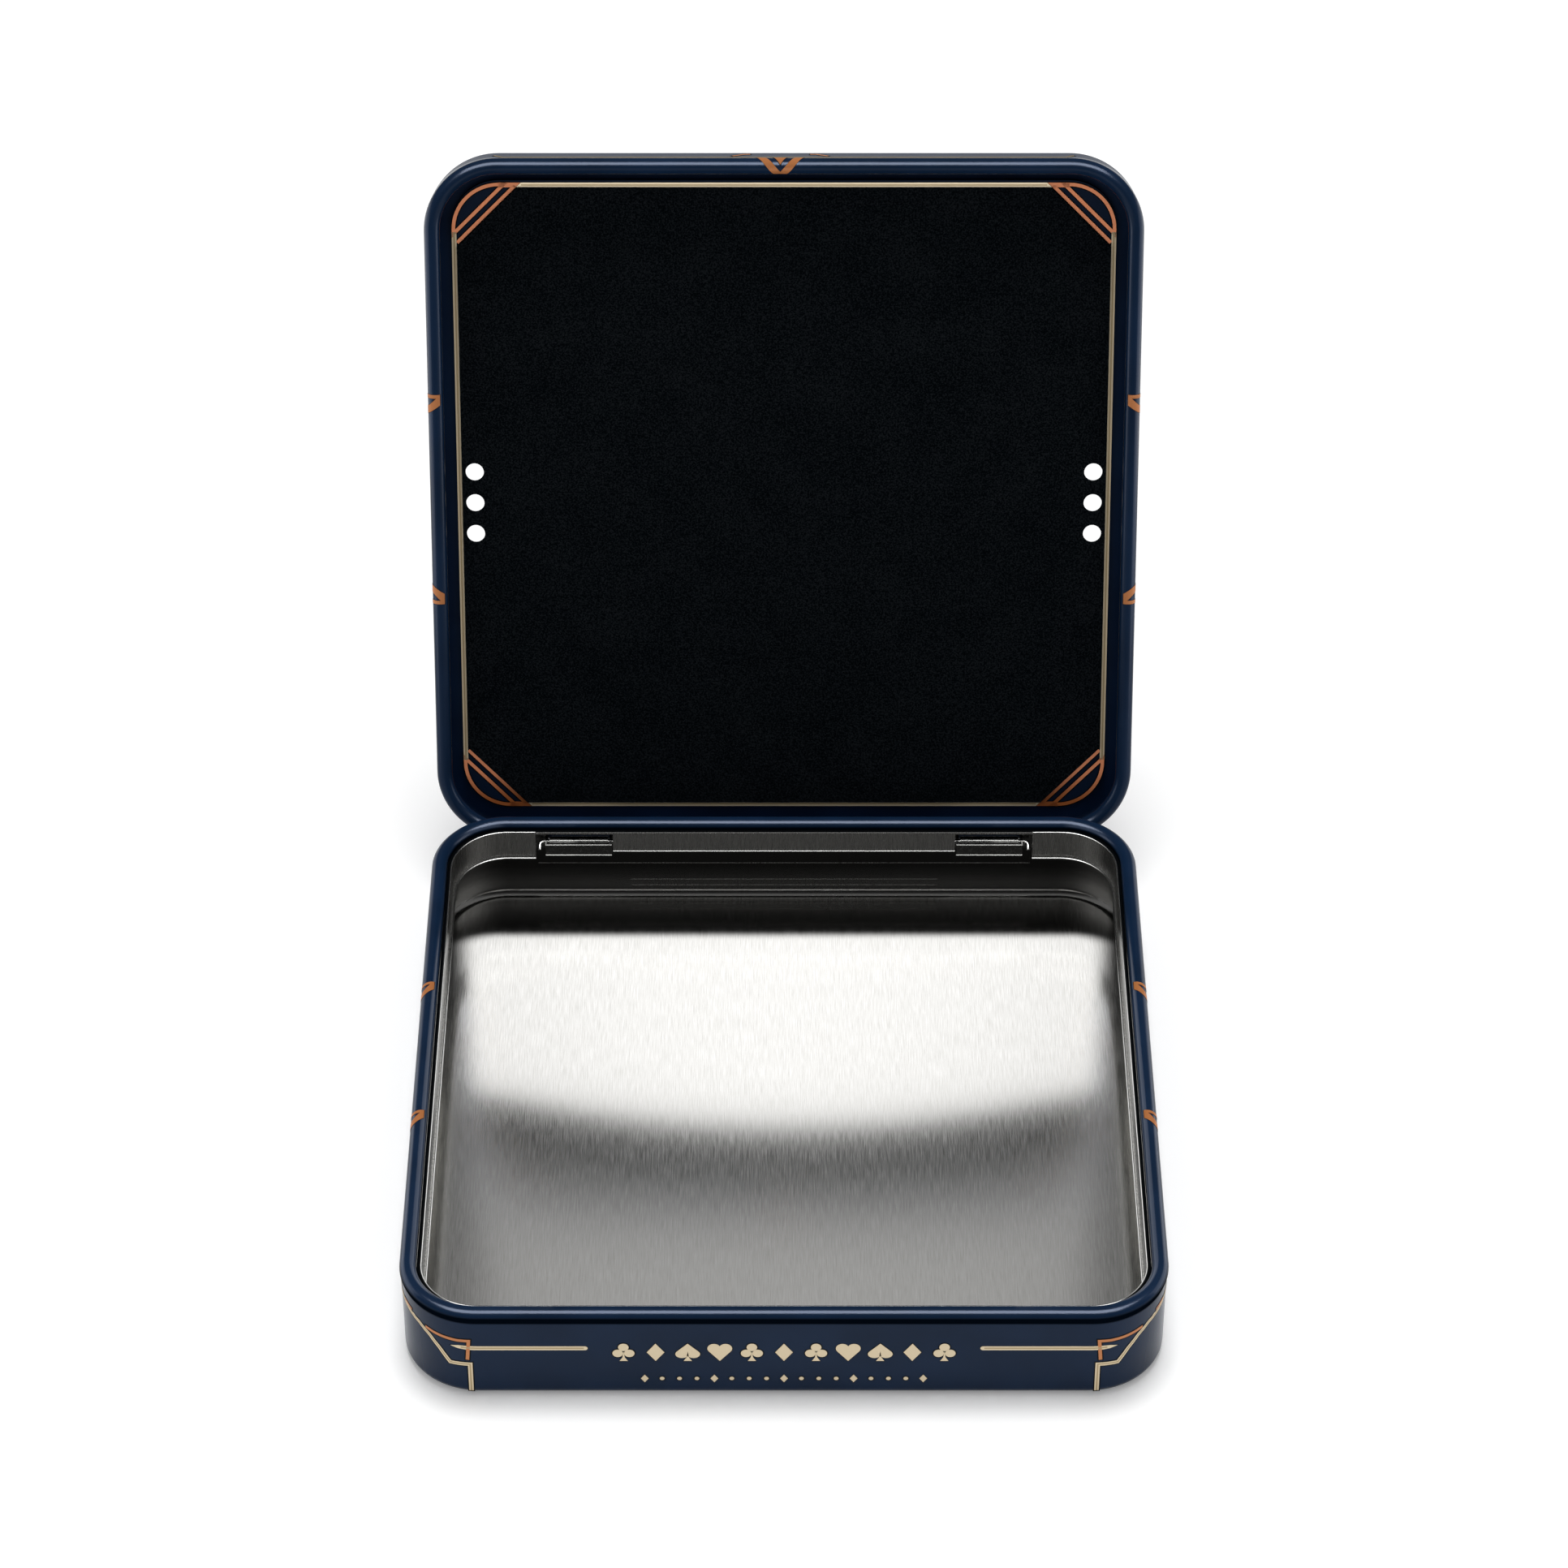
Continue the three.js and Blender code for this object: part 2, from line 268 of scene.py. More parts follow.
@dataclass(frozen=True)
class StovedLacquer(Finish):
    """Navy lacquer, roller-coated and stoved on tinplate.

    It gives soft-edged highlights with a faint orange peel, and the coat is a touch uneven. Part
    of it can carry painted shade, a darker colour with less sheen, as in the fold under a rolled
    rim. Where it lies is given by ramps along axes, in mm, each from nothing to full.
    """

    specular: float = 0.12
    tint: str = "#dde7fc"
    grain_mm: float = 14.0
    shades: tuple[tuple[float, str], ...] = ((0.35, "#0f2036"), (0.65, "#12253e"))
    gloss: Point | None = (0.9, 1.15)
    peel_mm: float = 2.2
    peel_relief: Point = (0.05, 0.05)
    # Painted shade: where it lies, the colour is darker and the sheen is less.
    painted_shade_zone: tuple[tuple[str, float, float], ...] = ()
    painted_shade_specular: float = 0.0
    painted_shade_colour: str = "#030912"

    def weave(self, tree: Tree, place: Socket, grain: Socket) -> dict[str, Socket]:
        """Adds the peel and the painted shade to the clouded colour and gloss.

        Args:
            tree: The material's node tree.
            place: The Object coordinates.
            grain: The clouds in the coat.

        Returns:
            The sockets that feed the shader, by the names of its inputs.
        """
        woven = super().weave(tree, place, grain)
        noise = {"Vector": place, "Scale": per_metre(self.peel_mm)}
        peel = add_node(tree, "TexNoise", "Fac", noise)
        strength, depth = self.peel_relief
        values = {"Height": peel, "Strength": strength, "Distance": depth * METRES}
        woven["Normal"] = add_node(tree, "Bump", "Normal", values)
        # Painted shade: a darker colour and less sheen where it lies.
        if self.painted_shade_zone:
            inside = self.inside_painted_shade(tree, place)
            colours = {6: woven["Base Color"], 7: linear(self.painted_shade_colour)}
            values = {"Factor": inside, **colours}
            woven["Base Color"] = add_node(tree, "Mix", 2, values, data_type="RGBA")
            values = {"Value": inside, "To Min": self.specular, "To Max": self.painted_shade_specular}
            woven["Specular IOR Level"] = add_node(tree, "MapRange", "Result", values)
        return woven

    def inside_painted_shade(self, tree: Tree, place: Socket) -> Socket:
        """Tells where the painted shade lies, by its place.

        Args:
            tree: The node tree.
            place: The Object coordinates.

        Returns:
            A socket that is 1 where the painted shade lies and 0 elsewhere.
        """
        axes = add_node(tree, "SeparateXYZ", "X", {"Vector": place}).node.outputs
        inside: Socket | float = 1.0
        for axis, start, full in self.painted_shade_zone:
            span = {"From Min": start * METRES, "From Max": full * METRES}
            values = {"Value": axes[axis], **span}
            share = add_node(tree, "MapRange", "Result", values, interpolation_type="SMOOTHSTEP")
            inside = add_node(tree, "Math", "Value", {0: share, 1: inside}, operation="MINIMUM")
        return inside


@dataclass(frozen=True)
class BrushedTinplate(Finish):
    """Bare tinplate, finished with fine strokes along one axis.

    The strokes spread a highlight across themselves, and leave thin light and dark streaks that
    are drawn about twice as coarse as the real grain, so that they show. The walls that stand
    across one axis carry painted shade: their colour darkens with their height, in mm, to stand
    in for the darker things that they mirror.
    """

    stroke_mm: tuple[float, float, float] = (0.16, 4.5, 0.16)
    detail: float = 3.0
    harshness: float = 0.6
    shades: tuple[tuple[float, str], ...] = ((0.25, "#d8d7d3"), (0.75, "#fcfbf9"))
    gloss: Point | None = (0.85, 1.2)
    gloss_span: Point = (0.3, 0.7)
    relief: Point | None = (0.15, 0.02)
    painted_shade_by_height: tuple[Point, ...] = ((1.5, 1.0), (3.5, 0.9), (5.5, 0.42), (7.5, 0.2), (20.0, 0.2))
    painted_shade_axis: str = "Y"
    painted_shade_mm: Point = (50.0, 62.0)

    def grain(self, tree: Tree, place: Socket) -> Socket:
        """Draws the strokes.

        Args:
            tree: The material's node tree.
            place: The Object coordinates.

        Returns:
            The strokes, about from 0 to 1.
        """
        scale = [per_metre(size) for size in self.stroke_mm]
        stretched = add_node(tree, "Mapping", "Vector", {"Vector": place, "Scale": scale})
        noise = {"Vector": stretched, "Scale": 1.0, "Detail": self.detail}
        return add_node(tree, "TexNoise", "Fac", {**noise, "Roughness": self.harshness})

    def weave(self, tree: Tree, place: Socket, grain: Socket) -> dict[str, Socket]:
        """Adds the walls' painted shade to the strokes' colour, gloss and relief.

        Args:
            tree: The material's node tree.
            place: The Object coordinates.
            grain: The strokes.

        Returns:
            The sockets that feed the shader, by the names of its inputs.
        """
        woven = super().weave(tree, place, grain)
        # Painted shade: on the walls across the shaded axis, the colour darkens with height.
        axes = add_node(tree, "SeparateXYZ", "X", {"Vector": place}).node.outputs
        tallest = self.painted_shade_by_height[-1][0]
        values = {"Value": axes["Z"], "From Max": tallest * METRES}
        share = add_node(tree, "MapRange", "Result", values)
        stops = [(height / tallest, grey(level)) for height, level in self.painted_shade_by_height]
        tone = add_node(tree, "ValToRGB", "Color", {"Fac": share}, stops)
        outward = add_node(tree, "Math", "Value", {0: axes[self.painted_shade_axis]}, operation="ABSOLUTE")
        start, end = (edge * METRES for edge in self.painted_shade_mm)
        values = {"Value": outward, "From Min": start, "From Max": end}
        reach = add_node(tree, "MapRange", "Result", values)
        values = {"Factor": reach, 6: woven["Base Color"], 7: tone}
        multiply = {"data_type": "RGBA", "blend_type": "MULTIPLY"}
        woven["Base Color"] = add_node(tree, "Mix", 2, values, **multiply)
        return woven


@dataclass(frozen=True)
class RolledSteel(Finish):
    """Bright cold-rolled steel, as hinge strip and drawn wire are.

    It mirrors its surroundings, blurred by fine scuffs.
    """

    grain_mm: float = 0.6
    detail: float = 4.0
    gloss: Point | None = (0.6, 1.4)
    relief: Point | None = (0.1, 0.02)


@dataclass(frozen=True)
class StampedFoil(Finish):
    """Hot-stamped metal foil.

    It is bright but not sharp, because it follows the grain of the surface that it is pressed on.
    """

    metallic: float = 0.25
    grain_mm: float = 0.35
    gloss: Point | None = (0.8, 1.2)
    relief: Point | None = (0.08, 0.02)


@dataclass(frozen=True)
class PrintedBoard(Finish):
    """Grey board faced with dark navy litho print under a matt varnish.

    The varnish dulls it, and the paper's fibres give a faint tooth.
    """

    specular: float = 0.1
    grain_mm: float = 0.5
    detail: float = 5.0
    relief: Point | None = (0.1, 0.03)


@dataclass(frozen=True)
class FlockedFelt(Finish):
    """Black flocked felt.

    Its short pile swallows light, with paler fibre ends in it, and lies a little unevenly.
    """

    specular: float = 0.0
    grain_mm: float = 0.3
    relief: Point | None = (0.5, 0.15)
    pile_mm: float = 9.0
    pile_detail: float = 3.0
    pile_share: float = 0.15
    fibre: str = "#181b1e"
    fibre_span: Point = (0.49, 0.73)

    def weave(self, tree: Tree, place: Socket, grain: Socket) -> dict[str, Socket]:
        """Adds the fibre ends' colour in the uneven pile to the relief.

        Args:
            tree: The material's node tree.
            place: The Object coordinates.
            grain: The fibre ends.

        Returns:
            The sockets that feed the shader, by the names of its inputs.
        """
        woven = super().weave(tree, place, grain)
        noise = {"Vector": place, "Scale": per_metre(self.pile_mm), "Detail": self.pile_detail}
        pile = add_node(tree, "TexNoise", "Fac", noise)
        values = {0: pile, 1: self.pile_share, 2: grain}
        both = add_node(tree, "Math", "Value", values, operation="MULTIPLY_ADD")
        stops = list(zip(self.fibre_span, (linear(self.colour), linear(self.fibre))))
        woven["Base Color"] = add_node(tree, "ValToRGB", "Color", {"Fac": both}, stops)
        return woven


def only(kind: type, geometry: Iterable[object]) -> list:
    """Returns the parts of some geometry that are of one kind."""
    return [part for part in geometry if isinstance(part, kind)]


def spin(
    bm: Mesh,
    geometry: Sequence[object],
    centre: Triple,
    axis: Triple,
    angle: float = 0.0,
    steps: int = 1,
    move: Triple = (0, 0, 0),
) -> list[object]:
    """Sweeps geometry round an axis or along a line.

    Args:
        bm: The mesh.
        geometry: What is swept.
        centre: A point of the axis.
        axis: Its direction.
        angle: How far it turns in all.
        steps: How many steps it takes.
        move: How far it moves in each step.

    Returns:
        The geometry at its end.
    """
    turn = {"cent": centre, "axis": axis, "angle": angle, "steps": steps, "dvec": move}
    return bmesh.ops.spin(bm, geom=geometry, use_duplicate=False, **turn)["geom_last"]


def cut(bm: Mesh, faces: Sequence[Face], point: Triple, normal: Triple) -> None:
    """Divides some faces along a plane.

    Args:
        bm: The mesh.
        faces: The faces.
        point: A point of the plane.
        normal: Its normal.
    """
    parts = [*faces, *(e for f in faces for e in f.edges), *(v for f in faces for v in f.verts)]
    bmesh.ops.bisect_plane(bm, geom=list(dict.fromkeys(parts)), plane_co=point, plane_no=normal)


def add_ring(
    bm: Mesh, centre: Triple, radius: float, segments: int, turned: str = "", filled: bool = False
) -> list[Vert]:
    """Adds a circle.

    Args:
        bm: The mesh.
        centre: Its centre.
        radius: Its radius.
        segments: How many sides it has.
        turned: The axis that turns it upright, if it doesn't lie flat.
        filled: Whether it has a face.

    Returns:
        Its vertices.
    """
    seat = Matrix.Translation(centre)
    if turned:
        seat = seat @ Matrix.Rotation(QUARTER, 4, turned)
    shape = {"segments": segments, "radius": radius, "matrix": seat}
    return bmesh.ops.create_circle(bm, cap_ends=filled, **shape)["verts"]


def add_rod(bm: Mesh, start: Vector, reach: float, radius: float) -> None:
    """Adds a thin round bead that runs to the right.

    Args:
        bm: The mesh.
        start: The middle of its left end.
        reach: Its length.
        radius: Its radius.
    """
    ring = add_ring(bm, start, radius, BEAD_SIDES, "Y", filled=True)
    spin(bm, list(ring[0].link_faces), start, UP, move=(reach, 0, 0))
    bmesh.ops.recalc_face_normals(bm, faces=bm.faces)


def raise_faces(bm: Mesh, thickness: float) -> None:
    """Gives a mesh's flat faces a thickness upwards.

    Args:
        bm: The mesh.
        thickness: The thickness.
    """
    grown = bmesh.ops.extrude_face_region(bm, geom=list(bm.faces))["geom"]
    bmesh.ops.translate(bm, vec=(0, 0, thickness), verts=only(Vert, grown))


def thicken(bm: Mesh, thickness: float) -> Mesh:
    """Gives a sheet of faces its thickness, on the side away from its normals.

    Args:
        bm: The sheet's outer face, which stays in it alone.
        thickness: The sheet's thickness.

    Returns:
        The sheet's inner face and its cut edges, as a mesh of their own.
    """
    outer = set(bm.faces)
    bmesh.ops.solidify(bm, geom=list(outer), thickness=thickness)
    for face in bm.faces:
        face.material_index = 0 if face in outer else 1
    inner = bm.copy()
    for mesh, gone in ((bm, 1), (inner, 0)):
        unwanted = [face for face in mesh.faces if face.material_index == gone]
        bmesh.ops.delete(mesh, geom=unwanted, context="FACES")
    for face in inner.faces:
        face.material_index = 0
    return inner


def round_edges(bm: Mesh, radius: float) -> None:
    """Rounds every sharp edge of a mesh.

    Args:
        bm: The mesh.
        radius: How far the rounding reaches.
    """
    sharp = [e for e in bm.edges if e.is_manifold and e.calc_face_angle() > ROUNDED_SHARP]
    bmesh.ops.bevel(
        bm, geom=sharp, offset=radius, segments=2, profile=0.5, affect="EDGES", material=-1
    )


def arc_points(centre: Point, radius: float, start: float, end: float, steps: int) -> Shape:
    """Gives points along an arc.

    Args:
        centre: The arc's centre.
        radius: Its radius.
        start: Its first angle, in degrees.
        end: Its last angle, in degrees.
        steps: How many parts it has.

    Returns:
        The points, with both ends.
    """
    (x, y), turn = centre, end - start
    angles = (math.radians(start + turn * i / steps) for i in range(steps + 1))
    return tuple((x + radius * math.cos(a), y + radius * math.sin(a)) for a in angles)


def mirrored(points: Sequence[Point]) -> Shape:
    """Returns points mirrored left to right."""
    return tuple((-x, y) for x, y in reversed(points))


def moved(outline: Sequence[Point], x: float, y: float = 0.0, size: float = 1.0) -> Shape:
    """Returns an outline drawn at some size and moved by x and y."""
    return tuple((px * size + x, py * size + y) for px, py in outline)


def stroke_sides(line: Sequence[Point], width: float, closed: bool = False) -> list[list[Point]]:
    """Draws both sides of a line of some width, with mitred corners.

    Args:
        line: The stroke's middle line.
        width: Its width.
        closed: Whether its last point joins its first.

    Returns:
        Its left side and its right side, point for point.
    """
    sharpest = 0.35
    points = [Vector(p) for p in line]
    sides: list[list[Point]] = [[], []]
    for i, point in enumerate(points):
        before = points[i - 1] if i or closed else None
        after = points[(i + 1) % len(points)] if i + 1 < len(points) or closed else None
        into = (point - before).normalized() if before else (after - point).normalized()
        out = (after - point).normalized() if after else into
        across = (into + out).normalized().orthogonal()
        mitre = width / 2 / max(across.dot(into.orthogonal()), sharpest)
        for side, reach in zip(sides, (mitre, -mitre)):
            side.append(tuple(point + across * reach))
    if closed:
        for side in sides:
            side.append(side[0])
    return sides


def draw_shape(bm: Mesh, outline: Sequence[Point]) -> None:
    """Draws a filled shape on the flat."""
    bm.faces.new([bm.verts.new((x, y, 0)) for x, y in outline])


def draw_stroke(bm: Mesh, line: Sequence[Point], width: float, closed: bool = False) -> None:
    """Draws a stroke of even width on the flat.

    Args:
        bm: The mesh.
        line: Its middle line.
        width: Its width.
        closed: Whether its last point joins its first.
    """
    left, right = stroke_sides(line, width, closed)
    for i in range(len(left) - 1):
        draw_shape(bm, (left[i], right[i], right[i + 1], left[i + 1]))


@dataclass(frozen=True)
class TinPlan:
    """The tin's sizes that its pieces share, and its outline in plan."""

    width: float = 135.0
    corner: float = 14.0
    sheet: float = 0.3
    curl: float = 1.5
    stand_out: float = 0.25
    tray_height: float = 20.4
    lid_height: float = 8.0
    rim_gap: float = 0.3
    hinge_inset: float = 2.0
    hinge_drop: float = 5.4
    hinge_share: float = 0.295
    open_angle: float = 109.6
    lid_reach: float = 0.45
    corner_steps: int = 24

    @property
    def half(self) -> float:
        """Half the tin's width, which is also half its depth."""
        return self.width / 2

    @property
    def straight(self) -> float:
        """Half the straight part of each side."""
        return self.half - self.corner

    @property
    def hinge(self) -> Vector:
        """The point of the hinge line in the middle plane."""
        return Vector((0, self.half - self.hinge_inset, self.tray_height - self.hinge_drop))

    @property
    def hinge_offset(self) -> float:
        """How far each hinge stands from the middle plane."""
        return self.width * self.hinge_share

    @property
    def opened(self) -> Matrix:
        """Turns what is drawn on the shut tin back with the open lid."""
        turn = Matrix.Rotation(-math.radians(self.open_angle), 4, "X")
        return Matrix.Translation(self.hinge) @ turn @ Matrix.Translation(-self.hinge)

    @property
    def lid_seat(self) -> Matrix:
        """Moves a lid that lies on its back, rim up, to its place on the open tin."""
        top = self.tray_height + self.rim_gap + self.lid_height
        return self.opened @ Matrix.Translation((0, 0, top)) @ Matrix.Rotation(math.pi, 4, "Y")

    def go_round(self, bm: Mesh, section: list[Edge]) -> None:
        """Sweeps a section once round the outline and closes it.

        Args:
            bm: The mesh that holds the section.
            section: Its edges, drawn at the front end of the right-hand side.
        """
        to_corner, corners = self.straight, ((1, 1), (-1, 1), (-1, -1), (1, -1))
        runs = ((0, 1, 0), (-1, 0, 0), (0, -1, 0), (1, 0, 0))
        for (x, y), run in zip(corners, runs):
            centre = (x * to_corner, y * to_corner, 0)
            move = Vector(run) * 2 * to_corner
            section = only(Edge, spin(bm, section, centre, UP, move=move))
            section = only(Edge, spin(bm, section, centre, UP, QUARTER, self.corner_steps))
        bmesh.ops.remove_doubles(bm, verts=bm.verts, dist=WELD)

    def on_wall(self, inset: float, along: float, height: float, proud: float) -> Vector:
        """Finds a place on a wall.

        Args:
            inset: How far the wall's face lies in from the tin's outermost edge.
            along: The distance round the tin, to the right from the front's middle.
            height: The height.
            proud: The height above the face.

        Returns:
            The place.
        """
        end, radius = self.straight, self.corner - inset
        side = math.copysign(1.0, along)
        past, out = abs(along) - end, radius + proud
        if past <= 0:
            return Vector((along, -end - out, height))
        angle = past / radius
        if angle < QUARTER:
            reach = Vector((math.sin(angle), -math.cos(angle))) * out
            return Vector((side * (end + reach.x), -end + reach.y, height))
        return Vector((side * (end + out), -end + past - radius * QUARTER, height))

    def on_curl(self, rim: float, along: float, over: float, proud: float) -> Vector:
        """Finds a place on a rolled rim.

        Args:
            rim: The rim's height.
            along: The distance round the tin, to the right from the front's middle.
            over: The distance over the curl from its outermost line.
            proud: The height above its face.

        Returns:
            The place.
        """
        angle, out = over / self.curl, self.curl + proud
        height = rim - self.curl + out * math.sin(angle)
        return self.on_wall(0.0, along, height, out * math.cos(angle) - self.curl)


PLAN = TinPlan()


@dataclass
class Piece:
    """A piece in the making: its name, what it rides on, its slot and its mesh."""

    name: str
    body: Body
    slot: Slot
    mesh: Mesh

    def finish(self, material: Material, *nodes: str, seat: Matrix | None = None) -> Object:
        """Turns the mesh into a finished object with its place in its mesh.

        Args:
            material: The piece's finish.
            *nodes: The frame's nodes that it stands for.
            seat: Moves it to its place, if it isn't drawn there.

        Returns:
            The finished object.
        """
        if seat is not None:
            bmesh.ops.transform(self.mesh, matrix=seat, verts=self.mesh.verts)
        bmesh.ops.scale(self.mesh, vec=Vector((METRES,) * 3), verts=self.mesh.verts)
        for face in self.mesh.faces:
            face.smooth = True
        for edge in self.mesh.edges:
            edge.smooth = not edge.is_manifold or edge.calc_face_angle() < SHADED_SHARP
        data = bpy.data.meshes.new(self.name)
        self.mesh.to_mesh(data)
        self.mesh.free()
        data.materials.append(material)
        piece = bpy.data.objects.new(self.name, data)
        bpy.context.scene.collection.objects.link(piece)
        normals = piece.modifiers.new("even_normals", "WEIGHTED_NORMAL")
        normals.keep_sharp = True
        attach(piece, self.body.value)
        if nodes:
            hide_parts(*nodes)
        LOG.info("%s: %d faces on %s", self.name, len(data.polygons), self.body.value)
        return piece


@dataclass
class DrawnShell:
    """A tray or a lid drawn from one sheet, with its rim rolled inwards."""

    height: float
    edge_radius: float
    plan: TinPlan = PLAN
    curl_end: float = 240.0
    curl_steps: int = 30
    edge_steps: int = 8
    support: float = 0.4

    def section(self, bm: Mesh) -> list[Edge]:
        """Draws the outer face's section, from the floor's edge up to the rim's raw edge.

        Args:
            bm: The mesh to draw it in.

        Returns:
            The section's edges.
        """
        plan, curl = self.plan, self.plan.curl
        y, wall = -plan.straight, plan.half - plan.stand_out
        foot = math.asin(math.sqrt(curl**2 - (curl - plan.stand_out) ** 2) / curl)
        curl_centre = Vector((plan.half - curl, y, self.height - curl))
        flat_end = wall - self.edge_radius
        start = bm.verts.new((flat_end, y, 0))
        bend = (flat_end, y, self.edge_radius)
        top = only(Vert, spin(bm, [start], bend, BACK, -QUARTER, self.edge_steps))[0]
        curl_foot = bm.verts.new((wall, y, curl_centre.z - curl * math.sin(foot)))
        bm.edges.new((top, curl_foot))
        turn = -math.radians(self.curl_end) - foot
        spin(bm, [curl_foot], curl_centre, BACK, turn, self.curl_steps)
        return list(bm.edges)

    def build(self, holes: Sequence[Point] = (), radius: float = 0.0) -> Mesh:
        """Builds the shell's outer face, with its floor closed around any round holes.

        Args:
            holes: The holes' centres.
            radius: Their radius.

        Returns:
            The mesh, with its normals outward.
        """
        bm = bmesh.new()
        self.plan.go_round(bm, self.section(bm))
        rim = [e for e in bm.edges if e.is_boundary and e.verts[0].co.z < WELD]
        flat = only(Edge, bmesh.ops.extrude_edge_only(bm, edges=rim)["geom"])
        ring = [e for e in flat if e.is_boundary]
        size = self.plan.half - self.edge_radius - self.plan.stand_out
        shrink = 1 - self.support / size
        verts = list(dict.fromkeys(v for e in ring for v in e.verts))
        bmesh.ops.scale(bm, vec=(shrink, shrink, 1), verts=verts)
        for x, y in holes:
            hole = add_ring(bm, (x, y, 0), radius, HOLE_SIDES)
            ring += list(dict.fromkeys(e for v in hole for e in v.link_edges))
        bmesh.ops.triangle_fill(bm, edges=ring, use_beauty=True, use_dissolve=not holes)
        bmesh.ops.recalc_face_normals(bm, faces=bm.faces)
        floor = [f for f in bm.faces if f.calc_center_median().z < WELD]
        if sum(f.normal.z * f.calc_area() for f in floor) > 0:
            bmesh.ops.reverse_faces(bm, faces=bm.faces)
        return bm


@dataclass
class Tray:
    """The tray: its drawn shell, bright inside, and the collar pressed inside its rim.

    The collar is cut away in a window at each hinge, and is shorter on the bridge between them.
    """

    plan: TinPlan = PLAN
    edge_radius: float = 2.0
    collar_gap: float = 0.55
    collar_top: float = 1.7
    collar_depth: float = 5.2
    collar_edge: float = 0.1
    flare_radius: float = 1.2
    flare_angle: float = 50.0
    flare_steps: int = 6
    middle_drop: float = 6.4
    bridge_drop: float = 2.15
    slot_half: float = 5.9
    slot_top: float = 1.27
    slot_bottom: float = -3.62
    window_near: float = 6.7
    window_far: float = 8.3
    hem_radius: float = 0.2
    lip_radius: float = 0.17
    rod_radius: float = 0.15
    mark_radius: float = 0.1
    marks: tuple[Point, ...] = ((8.3, 48.0), (4.1, 30.0), (2.6, 30.0))
    # A dark bead of painted shade in the gap between rim and collar.
    gap_shade_radius: float = 0.28
    gap_shade_drop: float = 0.1

    @property
    def face(self) -> float:
        """How far the collar's inner face stands from the middle."""
        return self.plan.half - 2 * self.plan.curl - self.collar_gap - self.plan.sheet

    @property
    def top(self) -> float:
        """The height of the collar's top edge."""
        return self.plan.tray_height - self.collar_top

    @property
    def window(self) -> Point:
        """How far a window's two ends stand from the middle plane."""
        offset = self.plan.hinge_offset
        return offset - self.window_near, offset + self.window_far

    def rear(self, bm: Mesh) -> list[Face]:
        """Returns the faces of a mesh that run along the rear wall."""
        return [f for f in bm.faces if f.calc_center_median().y > self.plan.straight]

    def build_shell(self, outside: Material, inside: Material) -> tuple[Object, Object]:
        """Builds the tray's shell with the two slots that the lid's straps pass through.

        Args:
            outside: The outside's finish.
            inside: The inside's finish.

        Returns:
            The shell's outside and its inside.
        """
        bm = DrawnShell(self.plan.tray_height, self.edge_radius).build()
        self.cut_slots(bm)
        inner = thicken(bm, self.plan.sheet)
        skin = Piece("tray_inside", Body.TRAY, Slot.COLLAR, inner)
        coat = Piece("tray_outside", Body.TRAY, Slot.TRAY_LACQUER, bm)
        return coat.finish(outside, "tray_shell"), skin.finish(inside, "tray_shell")

    def cut_slots(self, bm: Mesh) -> None:
        """Cuts the slots in the rear wall.

        Args:
            bm: The shell's outer face.
        """
        wall, offset = self.plan.half - self.plan.stand_out, self.plan.hinge_offset
        low, high = (self.plan.hinge.z + edge for edge in (self.slot_bottom, self.slot_top))
        cuts = [((0, 0, z), UP) for z in (low, high)]
        for side in (-1, 1):
            for edge in (-self.slot_half, self.slot_half):
                cuts.append(((side * offset + edge, 0, 0), RIGHT))
        for point, normal in cuts:
            flat = [f for f in bm.faces if all(abs(v.co.y - wall) < ON_WALL for v in f.verts)]
            cut(bm, flat, point, normal)
        gone = []
        for face in bm.faces:
            centre = face.calc_center_median()
            near = abs(abs(centre.x) - offset) < self.slot_half
            if centre.y > wall - ON_WALL and near and low < centre.z < high:
                gone.append(face)
        bmesh.ops.delete(bm, geom=gone, context="FACES")

    def build_gap_shade(self, finish: Material) -> None:
        """Builds a dark bead between the rolled rim and the collar: painted shade that fills the
        gap.

        Args:
            finish: The bead's finish.
        """
        plan = self.plan
        middle = plan.half - 2 * plan.curl - self.collar_gap / 2
        bm = bmesh.new()
        centre = (middle, -plan.straight, self.top - self.gap_shade_drop)
        add_ring(bm, centre, self.gap_shade_radius, BEAD_SIDES, "X")
        plan.go_round(bm, list(bm.edges))
        bmesh.ops.recalc_face_normals(bm, faces=bm.faces)
        Piece("rim_gap_painted_shade", Body.TRAY, Slot.TRAY_LACQUER, bm).finish(finish)

    def build_hem(self, finish: Material) -> Object:
        """Builds the fine beads along the collar's two edges, and the one on the bridge.

        Args:
            finish: The beads' finish.

        Returns:
            The beads.
        """
        plan, angle = self.plan, math.radians(self.flare_angle)
        lip = self.face - self.flare_radius * (1 - math.cos(angle)) + plan.sheet / 4
        foot = self.top - self.collar_depth - self.flare_radius * math.sin(angle)
        bm = bmesh.new()
        add_ring(bm, (lip, -plan.straight, foot), self.hem_radius, BEAD_SIDES, "X")
        middle = self.face + plan.sheet / 2
        add_ring(bm, (middle, -plan.straight, self.top), self.lip_radius, BEAD_SIDES, "X")
        plan.go_round(bm, list(bm.edges))
        near, far = self.window
        for edge in (-far, far):
            cut(bm, self.rear(bm), (edge, 0, 0), RIGHT)
        gone = [f for f in self.rear(bm) if abs(f.calc_center_median().x) < far]
        bmesh.ops.delete(bm, geom=gone, context="FACES")
        bmesh.ops.holes_fill(bm, edges=[e for e in bm.edges if e.is_boundary], sides=0)
        height = plan.tray_height - self.middle_drop + self.rod_radius / 2
        add_rod(bm, Vector((-near, self.face, height)), 2 * near, self.rod_radius)
        return Piece("collar_hem", Body.TRAY, Slot.COLLAR, bm).finish(finish, "inner_collar")

